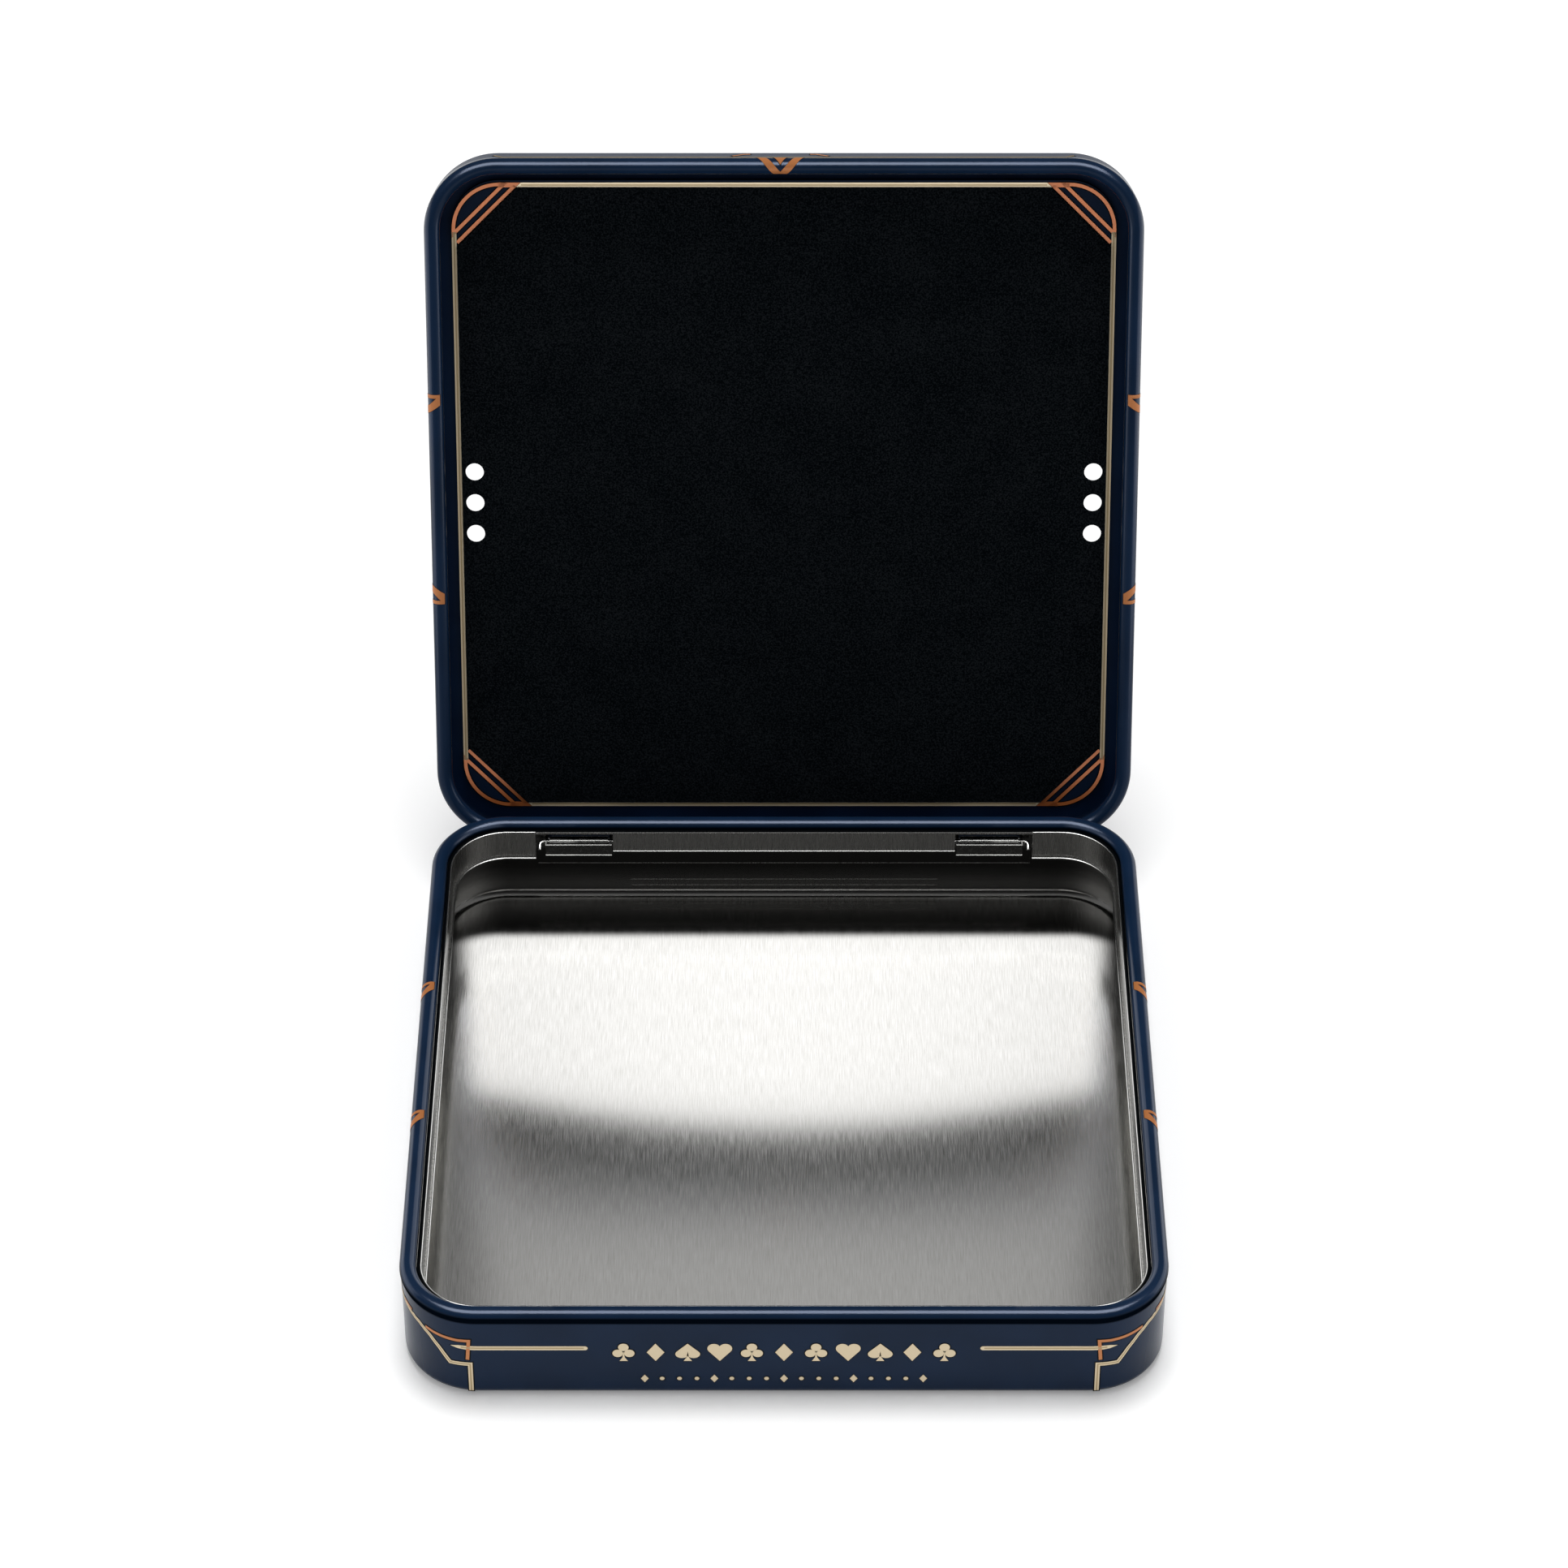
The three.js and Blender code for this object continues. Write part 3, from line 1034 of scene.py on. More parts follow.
    def build_marks(self, finish: Material) -> None:
        """Builds the fine ridges that drawing the tray left along its rear wall.

        Args:
            finish: The ridges' finish.
        """
        wall = self.plan.half - self.plan.stand_out - self.plan.sheet
        bm = bmesh.new()
        for height, reach in self.marks:
            add_rod(bm, Vector((-reach, wall, height)), 2 * reach, self.mark_radius)
        Piece("draw_marks", Body.TRAY, Slot.COLLAR, bm).finish(finish)

    def build_collar(self, finish: Material) -> Object:
        """Builds the collar with its flared foot.

        Args:
            finish: The collar's finish.

        Returns:
            The collar.
        """
        y, foot = -self.plan.straight, self.top - self.collar_depth
        bm = bmesh.new()
        upper, lower = (bm.verts.new((self.face, y, height)) for height in (self.top, foot))
        bm.edges.new((upper, lower))
        flare = (self.face - self.flare_radius, y, foot)
        spin(bm, [lower], flare, BACK, math.radians(self.flare_angle), self.flare_steps)
        self.plan.go_round(bm, list(bm.edges))
        self.cut_collar(bm)
        bmesh.ops.recalc_face_normals(bm, faces=bm.faces)
        if sum(f.normal.dot(f.calc_center_median()) for f in bm.faces) > 0:
            bmesh.ops.reverse_faces(bm, faces=bm.faces)
        bmesh.ops.solidify(bm, geom=list(bm.faces), thickness=self.plan.sheet)
        round_edges(bm, self.collar_edge)
        return Piece("collar_band", Body.TRAY, Slot.COLLAR, bm).finish(finish, "inner_collar")

    def cut_collar(self, bm: Mesh) -> None:
        """Cuts the windows at the hinges, and shortens the collar between them.

        Args:
            bm: The collar's inner face.
        """
        bridge = self.plan.tray_height - self.bridge_drop
        middle = self.plan.tray_height - self.middle_drop
        near, far = self.window
        planes = [((0, 0, z), UP) for z in (bridge, middle)]
        planes += [((x, 0, 0), RIGHT) for x in (-far, -near, near, far)]
        for point, normal in planes:
            cut(bm, self.rear(bm), point, normal)
        gone = []
        for face in self.rear(bm):
            centre = face.calc_center_median()
            windowed = near < abs(centre.x) < far and centre.z < bridge
            if windowed or (abs(centre.x) < near and centre.z < middle):
                gone.append(face)
        bmesh.ops.delete(bm, geom=gone, context="FACES")


@dataclass
class Hinge:
    """One of the two hinges: a bracket in the tray, a wire pin and a strap on the lid."""

    side: int
    plan: TinPlan = PLAN
    sheet: float = 0.4
    gap: float = 0.3
    pin_radius: float = 0.45
    pin_sides: int = 16
    pin_steps: int = 8
    pin_play: float = 0.12
    bracket_width: float = 12.8
    plate_top: float = 0.45
    plate_drop: float = 2.3
    ear_rise: float = 1.15
    flange: float = 2.4
    bend_radius: float = 0.7
    bend_steps: int = 6
    roll_end: float = 375.0
    roll_steps: int = 36
    joggle_rise: float = 0.8
    joggle_step: float = 0.25
    tab: float = 2.4
    pin_overhang: float = 0.4
    pin_bend: float = 0.75
    pin_tail: float = 1.0
    tail_angle: float = 35.0
    edge: float = 0.06
    hem: float = 0.18
    trim_share: float = 0.75

    @property
    def label(self) -> str:
        """The side's name."""
        return "left" if self.side < 0 else "right"

    @property
    def centre(self) -> Vector:
        """The middle of the pin."""
        return self.plan.hinge + RIGHT * self.side * self.plan.hinge_offset

    @property
    def roll_radius(self) -> float:
        """The outer radius of the strap's roll."""
        return self.pin_radius + self.pin_play + self.sheet

    def fold(self, line: Sequence[Point], along: Vector, across: Callable[[Point], Vector]) -> Mesh:
        """Folds a strip of sheet along a line.

        Args:
            line: The strip's middle line.
            along: The strip's width, as a vector.
            across: Turns a point of the line into a place.

        Returns:
            The strip's mesh.
        """
        bm = bmesh.new()
        left, right = stroke_sides(line, self.sheet)
        for i in range(len(left) - 1):
            corners = (left[i], right[i], right[i + 1], left[i + 1])
            bm.faces.new([bm.verts.new(across(c)) for c in corners])
        bmesh.ops.remove_doubles(bm, verts=bm.verts, dist=WELD)
        grown = bmesh.ops.extrude_face_region(bm, geom=list(bm.faces))["geom"]
        bmesh.ops.translate(bm, vec=along, verts=only(Vert, grown))
        bmesh.ops.recalc_face_normals(bm, faces=bm.faces)
        return bm

    def build_bracket(self, finish: Material) -> Object:
        """Builds the bracket: two flanges, two ears and the plate in front of the roll.

        Args:
            finish: The bracket's finish.

        Returns:
            The bracket.
        """
        half, middle = self.bracket_width / 2, self.sheet / 2
        ear, flange = half - middle, half + self.flange
        wall = self.plan.hinge_inset - self.plan.stand_out - self.plan.sheet
        back = wall - self.gap - middle
        front = -self.roll_radius - self.gap - middle
        right = ((ear, front), (ear, back), (flange, back))
        low = -self.plate_drop
        rise = UP * (self.plate_drop + self.ear_rise)
        bm = self.fold(
            (*mirrored(right), *right), rise, lambda p: self.centre + Vector((*p, low))
        )
        self.trim_plate(bm, front)
        round_edges(bm, self.edge)
        for height in (low + self.hem, self.plate_top):
            start = self.centre + Vector((-half, front - middle, height))
            add_rod(bm, start, self.bracket_width, self.hem)
        piece = Piece(f"{self.label}_hinge_cradle", Body.TRAY, Slot.HINGE, bm)
        return piece.finish(finish, f"{self.label}_hinge_bracket")

    def trim_plate(self, bm: Mesh, front: float) -> None:
        """Lowers the plate and the front of the ears to the plate's top.

        Args:
            bm: The bracket's mesh.
            front: Where the plate's middle lies, ahead of the pin.
        """
        top = self.centre.z + self.ear_rise
        behind = self.centre.y + front + self.sheet * self.trim_share
        cut(bm, list(bm.faces), (0, behind, 0), BACK)
        lowered = [v for v in bm.verts if v.co.z > top - WELD and v.co.y < behind - WELD]
        bmesh.ops.translate(bm, vec=(0, 0, self.plate_top - self.ear_rise), verts=lowered)

    def build_pin(self, finish: Material) -> Object:
        """Builds the wire pin with its bent tail.

        Args:
            finish: The pin's finish.

        Returns:
            The pin.
        """
        half = self.bracket_width / 2 + self.pin_overhang
        angle = math.radians(self.tail_angle)
        outward, down = RIGHT * self.side, Vector((0, -math.cos(angle), -math.sin(angle)))
        start = self.centre - outward * half
        bend = self.centre + outward * half + down * self.pin_bend
        turn = outward.cross(down)
        bm = bmesh.new()
        ring = add_ring(bm, start, self.pin_radius, self.pin_sides, "Y", filled=True)
        section = list(ring[0].link_faces)
        section = only(Face, spin(bm, section, start, turn, move=outward * 2 * half))
        section = only(Face, spin(bm, section, bend, turn, QUARTER, self.pin_steps))
        spin(bm, section, bend, turn, move=down * self.pin_tail)
        bmesh.ops.recalc_face_normals(bm, faces=bm.faces)
        round_edges(bm, self.edge)
        piece = Piece(f"{self.label}_hinge_wire", Body.TRAY, Slot.PIN, bm)
        return piece.finish(finish, f"{self.label}_hinge_pin")

    def build_strap(self, finish: Material) -> Object:
        """Builds the strap, from its tab on the lid to its roll round the pin.

        Args:
            finish: The strap's finish.

        Returns:
            The strap.
        """
        plan, middle = self.plan, self.roll_radius - self.sheet / 2
        out = plan.hinge_inset + self.gap + self.sheet / 2
        tab, joggle = out - self.joggle_step, plan.hinge_drop + plan.rim_gap + 2 * plan.curl
        joggle += self.gap
        bend = (out - self.bend_radius, middle + self.bend_radius)
        line = (
            (tab, joggle + self.joggle_rise + self.tab),
            (tab, joggle + self.joggle_rise),
            (out, joggle),
            *arc_points(bend, self.bend_radius, 0, -90, self.bend_steps),
            *arc_points((0, 0), middle, 90, self.roll_end, self.roll_steps),
        )
        width = self.bracket_width - 2 * self.sheet - 2 * self.gap
        bm = self.fold(line, RIGHT * width, lambda p: self.centre + Vector((-width / 2, *p)))
        round_edges(bm, self.edge)
        piece = Piece(f"{self.label}_hinge_leaf", Body.LID, Slot.HINGE, bm)
        return piece.finish(finish, f"{self.label}_hinge_strap", seat=plan.opened)


@dataclass
class Lid:
    """The lid: its drawn shell, the printed board inside it and the felt on the board.

    Heights are counted from the lid's outer face, with the lid on its back.
    """

    plan: TinPlan = PLAN
    edge_radius: float = 1.4
    board_inset: float = 4.9
    board_thickness: float = 1.2
    board_steps: int = 16
    felt_inset: float = 5.85
    felt_chamfer: float = 11.4
    felt_thickness: float = 0.5
    glued_gap: float = 0.2
    vent_radius: float = 1.75
    board_vent_radius: float = 2.35
    shell_vent_radius: float = 2.5
    vent_shift: float = 0.4
    vent_inset: float = 8.3
    vent_pitch: float = 6.15
    far_inset: float = 0.45

    @property
    def board_face(self) -> float:
        """The height of the board's printed face."""
        return self.plan.sheet + self.glued_gap + self.board_thickness

    @property
    def vents(self) -> list[Point]:
        """Places the six vents.

        Returns:
            Their centres.
        """
        x = self.plan.half - self.vent_inset
        rows = [self.vent_shift + step * self.vent_pitch for step in (-1, 0, 1)]
        return [(side * x, y) for side in (-1, 1) for y in rows]

    def build_shell(self, outside: Material, inside: Material) -> Object:
        """Builds the lid's shell with its vents.

        Args:
            outside: The outside's finish.
            inside: The inside's finish.

        Returns:
            The shell's outside.
        """
        plan = self.plan
        shell = DrawnShell(plan.lid_height, self.edge_radius)
        bm = shell.build(self.vents, self.shell_vent_radius)
        far = [v for v in bm.verts if v.co.y < -plan.straight + WELD]
        bmesh.ops.translate(bm, vec=(0, -plan.lid_reach, 0), verts=far)
        skin = Piece("lid_inside", Body.LID, Slot.LID_LACQUER, thicken(bm, plan.sheet))
        skin.finish(inside, "lid_shell", seat=plan.lid_seat)
        coat = Piece("lid_outside", Body.LID, Slot.LID_LACQUER, bm)
        return coat.finish(outside, "lid_shell", seat=plan.lid_seat)

    def flat_sheet(
        self,
        inset: float,
        cut_off: float,
        segments: int,
        radius: float,
        base: float,
        thickness: float,
    ) -> Mesh:
        """Builds a flat square sheet with shaped corners and the vents through it.

        Args:
            inset: How far its sides lie in from the tin's outermost edge.
            cut_off: How much of each side its corners take.
            segments: 1 for cut corners, and more for round ones.
            radius: The radius of its vents.
            base: The height of its lower face.
            thickness: Its thickness.

        Returns:
            The sheet's mesh.
        """
        bm = bmesh.new()
        seat, size = Matrix.Translation((0, 0, base)), self.plan.half - inset
        bmesh.ops.create_grid(bm, x_segments=1, y_segments=1, size=size, matrix=seat)
        bmesh.ops.bevel(
            bm,
            geom=list(bm.verts),
            offset=cut_off,
            segments=segments,
            profile=0.5,
            affect="VERTICES",
            material=-1,
        )
        bmesh.ops.delete(bm, geom=list(bm.faces), context="FACES_ONLY")
        for x, y in self.vents:
            add_ring(bm, (x, y, base), radius, HOLE_SIDES)
        bmesh.ops.triangle_fill(bm, edges=list(bm.edges), use_beauty=True, normal=UP)
        raise_faces(bm, thickness)
        bmesh.ops.recalc_face_normals(bm, faces=bm.faces)
        return bm

    def build_board(self, finish: Material) -> None:
        """Builds the printed board.

        Args:
            finish: The board's finish.
        """
        inset, thickness = self.board_inset, self.board_thickness
        corner, base = self.plan.corner - inset, self.board_face - thickness
        radius = self.board_vent_radius
        bm = self.flat_sheet(inset, corner, self.board_steps, radius, base, thickness)
        piece = Piece("lid_printed_board", Body.LID, Slot.BOARD, bm)
        piece.finish(finish, "lid_board", seat=self.plan.lid_seat)

    def build_felt(self, finish: Material) -> None:
        """Builds the felt, a square with its corners cut off.

        Args:
            finish: The felt's finish.
        """
        base = self.board_face + self.glued_gap
        bm = self.flat_sheet(
            self.felt_inset, self.felt_chamfer, 1, self.vent_radius, base, self.felt_thickness
        )
        far = [v for v in bm.verts if v.co.y < -self.plan.half / 2]
        bmesh.ops.translate(bm, vec=(0, self.far_inset, 0), verts=far)
        piece = Piece("lid_felt_panel", Body.LID, Slot.FELT, bm)
        piece.finish(finish, "lid_felt", seat=self.plan.lid_seat)


@dataclass(frozen=True)
class Stamp:
    """One tone's shapes in a print: strokes, filled shapes and the shapes' own shaded lines."""

    tone: FoilTone
    strokes: tuple[Stroke, ...] = ()
    shapes: tuple[Shape, ...] = ()
    shades: tuple[Stroke, ...] = ()


@dataclass
class FoilPrint:
    """A print in several foils on one face of the tin.

    A dark keyline lies round each stroke and shape, ink that also paints the shadow round the
    raised foil, and a narrow line of painted shade runs along the middle of the gilt ones. Each
    layer stands a little prouder of the face than the one before.
    """

    label: str
    body: Body
    place: Place
    finishes: Mapping[FoilTone, Material]
    grid: float = 0.9
    keyline: float = 0.22
    middle: float = 0.34
    sink: float = 0.04
    keyline_proud: float = 0.03
    foil_proud: float = 0.05
    shade_proud: float = 0.06
    plan: TinPlan = PLAN

    def lay(self, *stamps: Stamp) -> list[Object]:
        """Lays the stamps in layers: keyline, foil and the shaded middle line.

        Args:
            *stamps: What is printed, with one stamp for each tone.

        Returns:
            The foil pieces, without the keyline.
        """
        # The keyline round every stroke and shape, ink that also paints the shadow round the raised
        # foil.
        bm = bmesh.new()
        for stamp in stamps:
            for line, width, closed in stamp.strokes:
                draw_stroke(bm, self.longer(line, closed), width + 2 * self.keyline, closed)
            for shape in stamp.shapes:
                draw_shape(bm, self.grown(shape))
        self.press(bm, "keyline", FoilTone.KEYLINE, self.keyline_proud)
        pieces = []
        for stamp in stamps:
            bm = bmesh.new()
            for stroke in stamp.strokes:
                draw_stroke(bm, *stroke)
            for shape in stamp.shapes:
                draw_shape(bm, shape)
            pieces.append(self.press(bm, stamp.tone.name.lower(), stamp.tone, self.foil_proud))
        # A middle line of painted shade on the gilt, which rounds it.
        for stamp in stamps:
            lines = (*stamp.strokes, *stamp.shades)
            if stamp.tone is FoilTone.GILT and lines:
                bm = bmesh.new()
                for line, width, closed in lines:
                    draw_stroke(bm, line, width * self.middle, closed)
                pieces.append(self.press(bm, "gilt_shade", FoilTone.SHADE, self.shade_proud))
        return pieces

    def press(self, bm: Mesh, layer: str, tone: FoilTone, proud: float) -> Object:
        """Gives flat shapes their thickness and lays them on the tin.

        The shapes are divided on a grid first, so that they can follow a curved face.

        Args:
            bm: The shapes.
            layer: The layer's name.
            tone: Its colour.
            proud: How far it stands above the face.

        Returns:
            The laid foil.
        """
        bmesh.ops.remove_doubles(bm, verts=bm.verts, dist=WELD)
        for axis, normal in enumerate((RIGHT, BACK)):
            reach = [v.co[axis] / self.grid for v in bm.verts]
            for i in range(math.floor(min(reach)) + 1, math.ceil(max(reach))):
                cut(bm, list(bm.faces), normal * i * self.grid, normal)
        bmesh.ops.recalc_face_normals(bm, faces=bm.faces)
        raise_faces(bm, proud + self.sink)
        for vert in bm.verts:
            vert.co = self.place(vert.co.x, vert.co.y, vert.co.z - self.sink)
        bmesh.ops.recalc_face_normals(bm, faces=bm.faces)
        lid = self.body is Body.LID
        slot = Slot.LID_LACQUER if lid else Slot.TRAY_LACQUER
        piece = Piece(f"{self.label}_foil_{layer}", self.body, slot, bm)
        return piece.finish(self.finishes[tone], seat=self.plan.lid_seat if lid else None)

    def longer(self, line: Sequence[Point], closed: bool) -> list[Vector]:
        """Makes the ends of a line reach on by the keyline's width.

        Args:
            line: The line.
            closed: Whether it has no ends.

        Returns:
            The longer line.
        """
        points = [Vector(p) for p in line]
        if not closed:
            points[0] += (points[0] - points[1]).normalized() * self.keyline
            points[-1] += (points[-1] - points[-2]).normalized() * self.keyline
        return points

    def grown(self, shape: Sequence[Point]) -> list[Vector]:
        """Makes a shape grow on all sides by the keyline's width.

        Args:
            shape: The shape.

        Returns:
            The grown shape.
        """
        points = [Vector(p) for p in shape]
        middle = sum(points, Vector((0, 0))) / len(points)
        size = max((p - middle).length for p in points)
        return [middle + (p - middle) * (1 + self.keyline / size) for p in points]


@dataclass(frozen=True)
class SuitPips:
    """The four card suits' pips, drawn at a height of 1 about their middle."""

    lobe: float = 0.27
    spread: float = 0.235
    rise: float = 0.22
    leaf: float = 0.215
    leaf_drop: float = 0.06
    blade_share: float = 0.84
    blade_lift: float = 0.08
    steps: int = 10
    diamond: Shape = ((0, 0.5), (0.36, 0), (0, -0.5), (-0.36, 0))
    stem: Shape = ((0, 0.06), (0.05, -0.3), (0.17, -0.5), (-0.17, -0.5), (-0.05, -0.3))

    @property
    def heart(self) -> Shape:
        """Draws a heart.

        Returns:
            Its outline.
        """
        tip, centre = Vector((0, -0.5)), Vector((self.spread, self.rise))
        reach = tip - centre
        start = math.degrees(math.acos(-self.spread / self.lobe))
        end = math.degrees(math.atan2(reach.y, reach.x) + math.acos(self.lobe / reach.length))
        right = arc_points(centre, self.lobe, start, end, self.steps)
        return (*right, tuple(tip), *mirrored(right)[:-1])

    @property
    def suits(self) -> tuple[tuple[Shape, ...], ...]:
        """Draws the four suits.

        Returns:
            The shapes of a club, a diamond, a spade and a heart.
        """
        upturned = reversed(self.heart)
        blade = tuple((x, self.blade_lift - y * self.blade_share) for x, y in upturned)
        sides = [(side * self.spread, -self.leaf_drop) for side in (1, -1)]
        middles = ((0, 0.5 - self.leaf), *sides)
        leaves = (arc_points(m, self.leaf, 0, 360, 2 * self.steps)[:-1] for m in middles)
        return (*leaves, self.stem), (self.diamond,), (blade, self.stem), (self.heart,)


@dataclass
class Decoration:
    """The foil decoration: plain lines, corner fans, rim chevrons and rows of suit pips.

    The lines on the front are drawn on its left half and mirrored, by the distance round the tin
    from the front's middle and the height.
    """

    finishes: Mapping[FoilTone, Material]
    plan: TinPlan = PLAN
    line_width: float = 0.95
    corner_width: float = 0.8
    copper_width: float = 0.62
    fan_width: float = 0.66
    fan_centre: Point = (53.5, 53.5)
    fan_radius: float = 8.75
    fan_steps: int = 16
    fan_foot: Point = (52.7, 62.25)
    fan_band: Shape = ((61.6, 50.97), (50.57, 62.0))
    strip_start: float = 53.6
    rule_line: float = 11.86
    rule_ends: Point = (-55.4, -34.7)
    rule_tip: float = -58.3
    rule_taper: float = -56.9
    rule_middle: Point = (-56.4, -34.9)
    rule_steps: int = 8
    taper_share: float = 0.8
    dash_share: float = 0.7
    pip_height: float = 4.3
    pip_count: int = 11
    pip_row: float = 56.0
    pip_line: float = 10.85
    dot_line: float = 4.3
    dot_pitch: float = 3.05
    dot_radius: float = 0.42
    dot_steps: int = 16
    dots_each_side: int = 8
    small_pip: float = 1.9
    small_every: int = 4
    far_inset: float = 0.45
    vee_shift: float = 0.7
    curl_grid: float = 0.35
    bead: Point = (61.7, 62.6)
    bead_end: float = 53.0
    bead_slant: float = 112.1
    bead_margin: float = 0.1
    chevron_reach: float = 2.35
    knot: Shape = ((-65.1, 13.85), (-66.3, 13.7), (-67.8, 14.2), (-66.6, 14.8))
    frame: Shape = (
        (-54.87, 1.24),
        (-54.86, 7.8),
        (-58.5, 7.6),
        (-60.5, 10.35),
        (-62.5, 12.4),
        (-65.0, 13.85),
        (-68.5, 14.55),
        (-72.5, 15.4),
        (-76.5, 16.4),
    )
    step: Shape = (
        (-55.3, 8.9),
        (-54.95, 13.55),
        (-57.0, 13.4),
        (-59.7, 13.45),
        (-61.6, 13.6),
        (-63.4, 13.85),
    )
    dash: Shape = ((-67.2, 15.14), (-70.0, 15.4))
    wall_line: Shape = ((-54.2, 3.6), (-52.6, 4.9), (52.6, 4.9), (54.2, 3.6))
    wall_dash: Shape = ((-8.9, 3.9), (-6.8, 2.5), (-5.6, 2.5))
    vee_arm: Shape = ((-4.4, -0.1), (-2.8, -0.1), (0.0, 3.2), (0.0, 3.9), (-1.2, 3.9))
    vee_wedge: Shape = ((-1.2, -0.1), (0.0, 1.8), (1.2, -0.1))

    def lay(
        self, label: str, body: Body, place: Place, *stamps: Stamp, grid: float = 0.9
    ) -> list[Object]:
        """Lays a print on a face.

        Args:
            label: The face it is on.
            body: The body it rides on.
            place: The face's places.
            *stamps: What is printed.
            grid: The size of the squares that the foil is divided into.

        Returns:
            The foil pieces, without the keyline.
        """
        return FoilPrint(label, body, place, self.finishes, grid).lay(*stamps)

    def on_front(self) -> None:
        """Prints the lines on the tray's front wall and round its two front corners."""
        half, (start, end) = self.line_width / 2, self.rule_ends
        upper = ((start, half), (self.rule_taper, half * self.taper_share))
        lower = tuple((x, -y) for x, y in reversed(upper))
        round_end = arc_points((end, 0.0), half, -90, 90, self.rule_steps)
        rule = moved(((self.rule_tip, 0.0), *lower, *round_end, *upper), 0.0, self.rule_line)
        middle = tuple((x, self.rule_line) for x in self.rule_middle)
        shades = tuple((line, self.line_width, False) for line in (middle, mirrored(middle)))
        widths = (self.corner_width, self.copper_width, self.copper_width * self.dash_share)
        frame, step, dash = (
            ((line, width, False), (mirrored(line), width, False))
            for line, width in zip((self.frame, self.step, self.dash), widths)
        )
        shapes = (rule, mirrored(rule), self.knot, mirrored(self.knot))
        gilt = Stamp(FoilTone.GILT, frame, shapes, shades)
        copper = Stamp(FoilTone.COPPER, (*step, *dash))
        place = partial(self.plan.on_wall, self.plan.stand_out)
        self.lay("front_wall", Body.TRAY, place, gilt, copper)

    def pips_on_front(self) -> None:
        """Prints a row of suit pips on the front wall, with a row of small dots below."""
        pips, last = SuitPips(), self.pip_count - 1
        shapes: list[Shape] = []
        for i in range(self.pip_count):
            x = (i - last / 2) * self.pip_row / last
            for part in pips.suits[min(i, last - i) % len(pips.suits)]:
                shapes.append(moved(part, x, self.pip_line, self.pip_height))
        small = moved(pips.diamond, 0, 0, self.small_pip)
        dot = arc_points((0, 0), self.dot_radius, 0, 360, self.dot_steps)[:-1]
        for i in range(-self.dots_each_side, self.dots_each_side + 1):
            mark = dot if i % self.small_every else small
            shapes.append(moved(mark, i * self.dot_pitch, self.dot_line))
        place = partial(self.plan.on_wall, self.plan.stand_out)
        self.lay("front_pips", Body.TRAY, place, Stamp(FoilTone.GILT, (), tuple(shapes)))

    def on_board(self, face: float) -> list[Object]:
        """Prints the beading and the corner fans on the board in the lid.

        Args:
            face: The height of the board's printed face.

        Returns:
            The pieces of foil that catch more light.
        """
        inner, outer = self.bead
        side_end, slant, margin = self.bead_end, self.bead_slant, self.bead_margin
        middle, width = (inner + outer) / 2, outer - inner
        side = ((outer, -side_end), (outer, side_end), (inner, side_end), (inner, -side_end))
        end, inner_end = slant - outer - margin, slant - inner - margin
        far = ((-end, outer), (end, outer), (inner_end, inner), (-inner_end, inner))
        near = tuple((x, -y) for x, y in reversed(far))
        side_shades, end_shades = [], []
        for x in (-middle, middle):
            side_shades.append((((x, -side_end), (x, side_end)), width, False))
            end_shades.append((((-end, x), (end, x)), width, False))
        arc = arc_points(self.fan_centre, self.fan_radius, 0, 90, self.fan_steps)
        fan, band = (*arc, self.fan_foot, self.fan_foot[::-1]), self.fan_band
        start = self.strip_start
        strip = ((start, outer), (slant - outer, outer), (slant - inner, inner), (start, inner))
        fans: list[Stroke] = []
        strips: list[Shape] = []
        for across, down in ((1, 1), (-1, 1), (-1, -1), (1, -1)):
            turned = [tuple((x * across, y * down) for x, y in s) for s in (fan, band, strip)]
            fans += [(turned[0], self.fan_width, True), (turned[1], self.fan_width, False)]
            strips.append(turned[2])
        place = partial(self.on_face, face)
        sides = Stamp(FoilTone.GILT, (), (side, mirrored(side)), tuple(side_shades))
        self.lay("lid_board_sides", Body.LID, place, sides)
        copper = Stamp(FoilTone.DEEP_COPPER, tuple(fans), tuple(strips))
        ends = Stamp(FoilTone.GILT, (), (far, near), tuple(end_shades))
        return self.lay("lid_board", Body.LID, place, copper, ends)

    def on_face(self, face: float, x: float, y: float, proud: float) -> Vector:
        """Finds a place on the board's face, drawn in a little towards its far side.

        Args:
            face: The face's height.
            x: The distance to the right.
            y: The distance to the rear.
            proud: The height above the face.

        Returns:
            The place.
        """
        inward = self.far_inset * max(-y, 0.0) / self.bead[1]
        return Vector((x, y + inward, face + proud))

    def on_rims(self) -> None:
        """Prints the chevrons that cross the rolled rims of the tray and the lid."""
        plan = self.plan
        turn = plan.straight + plan.corner * QUARTER + plan.straight
        # A mark is its distance behind the middle of the side, and the way that it leans.
        for body, label, rim, slant, marks in (
            (Body.TRAY, "tray_rim", plan.tray_height, 0.55, ((18.9, -1), (-15.8, -1))),
            (Body.LID, "lid_rim", plan.lid_height, 0.0, ((-22.6, 1), (19.0, -1))),
        ):
            shapes: list[Shape] = []
            for y, lean in marks:
                for side in (-1, 1):
                    for part in self.chevron(slant):
                        placed = tuple((side * (turn + y + lean * px), py) for px, py in part)
                        shapes.append(placed)
            stamp = Stamp(FoilTone.COPPER, (), tuple(shapes))
            self.lay(label, body, partial(plan.on_curl, rim), stamp, grid=self.curl_grid)
        parts = (self.vee_arm, mirrored(self.vee_arm), self.vee_wedge)
        stamp = Stamp(FoilTone.COPPER, (), tuple(moved(p, self.vee_shift) for p in parts))
        place = self.further(partial(plan.on_curl, plan.lid_height))
        self.lay("lid_far_rim", Body.LID, place, stamp, grid=self.curl_grid)

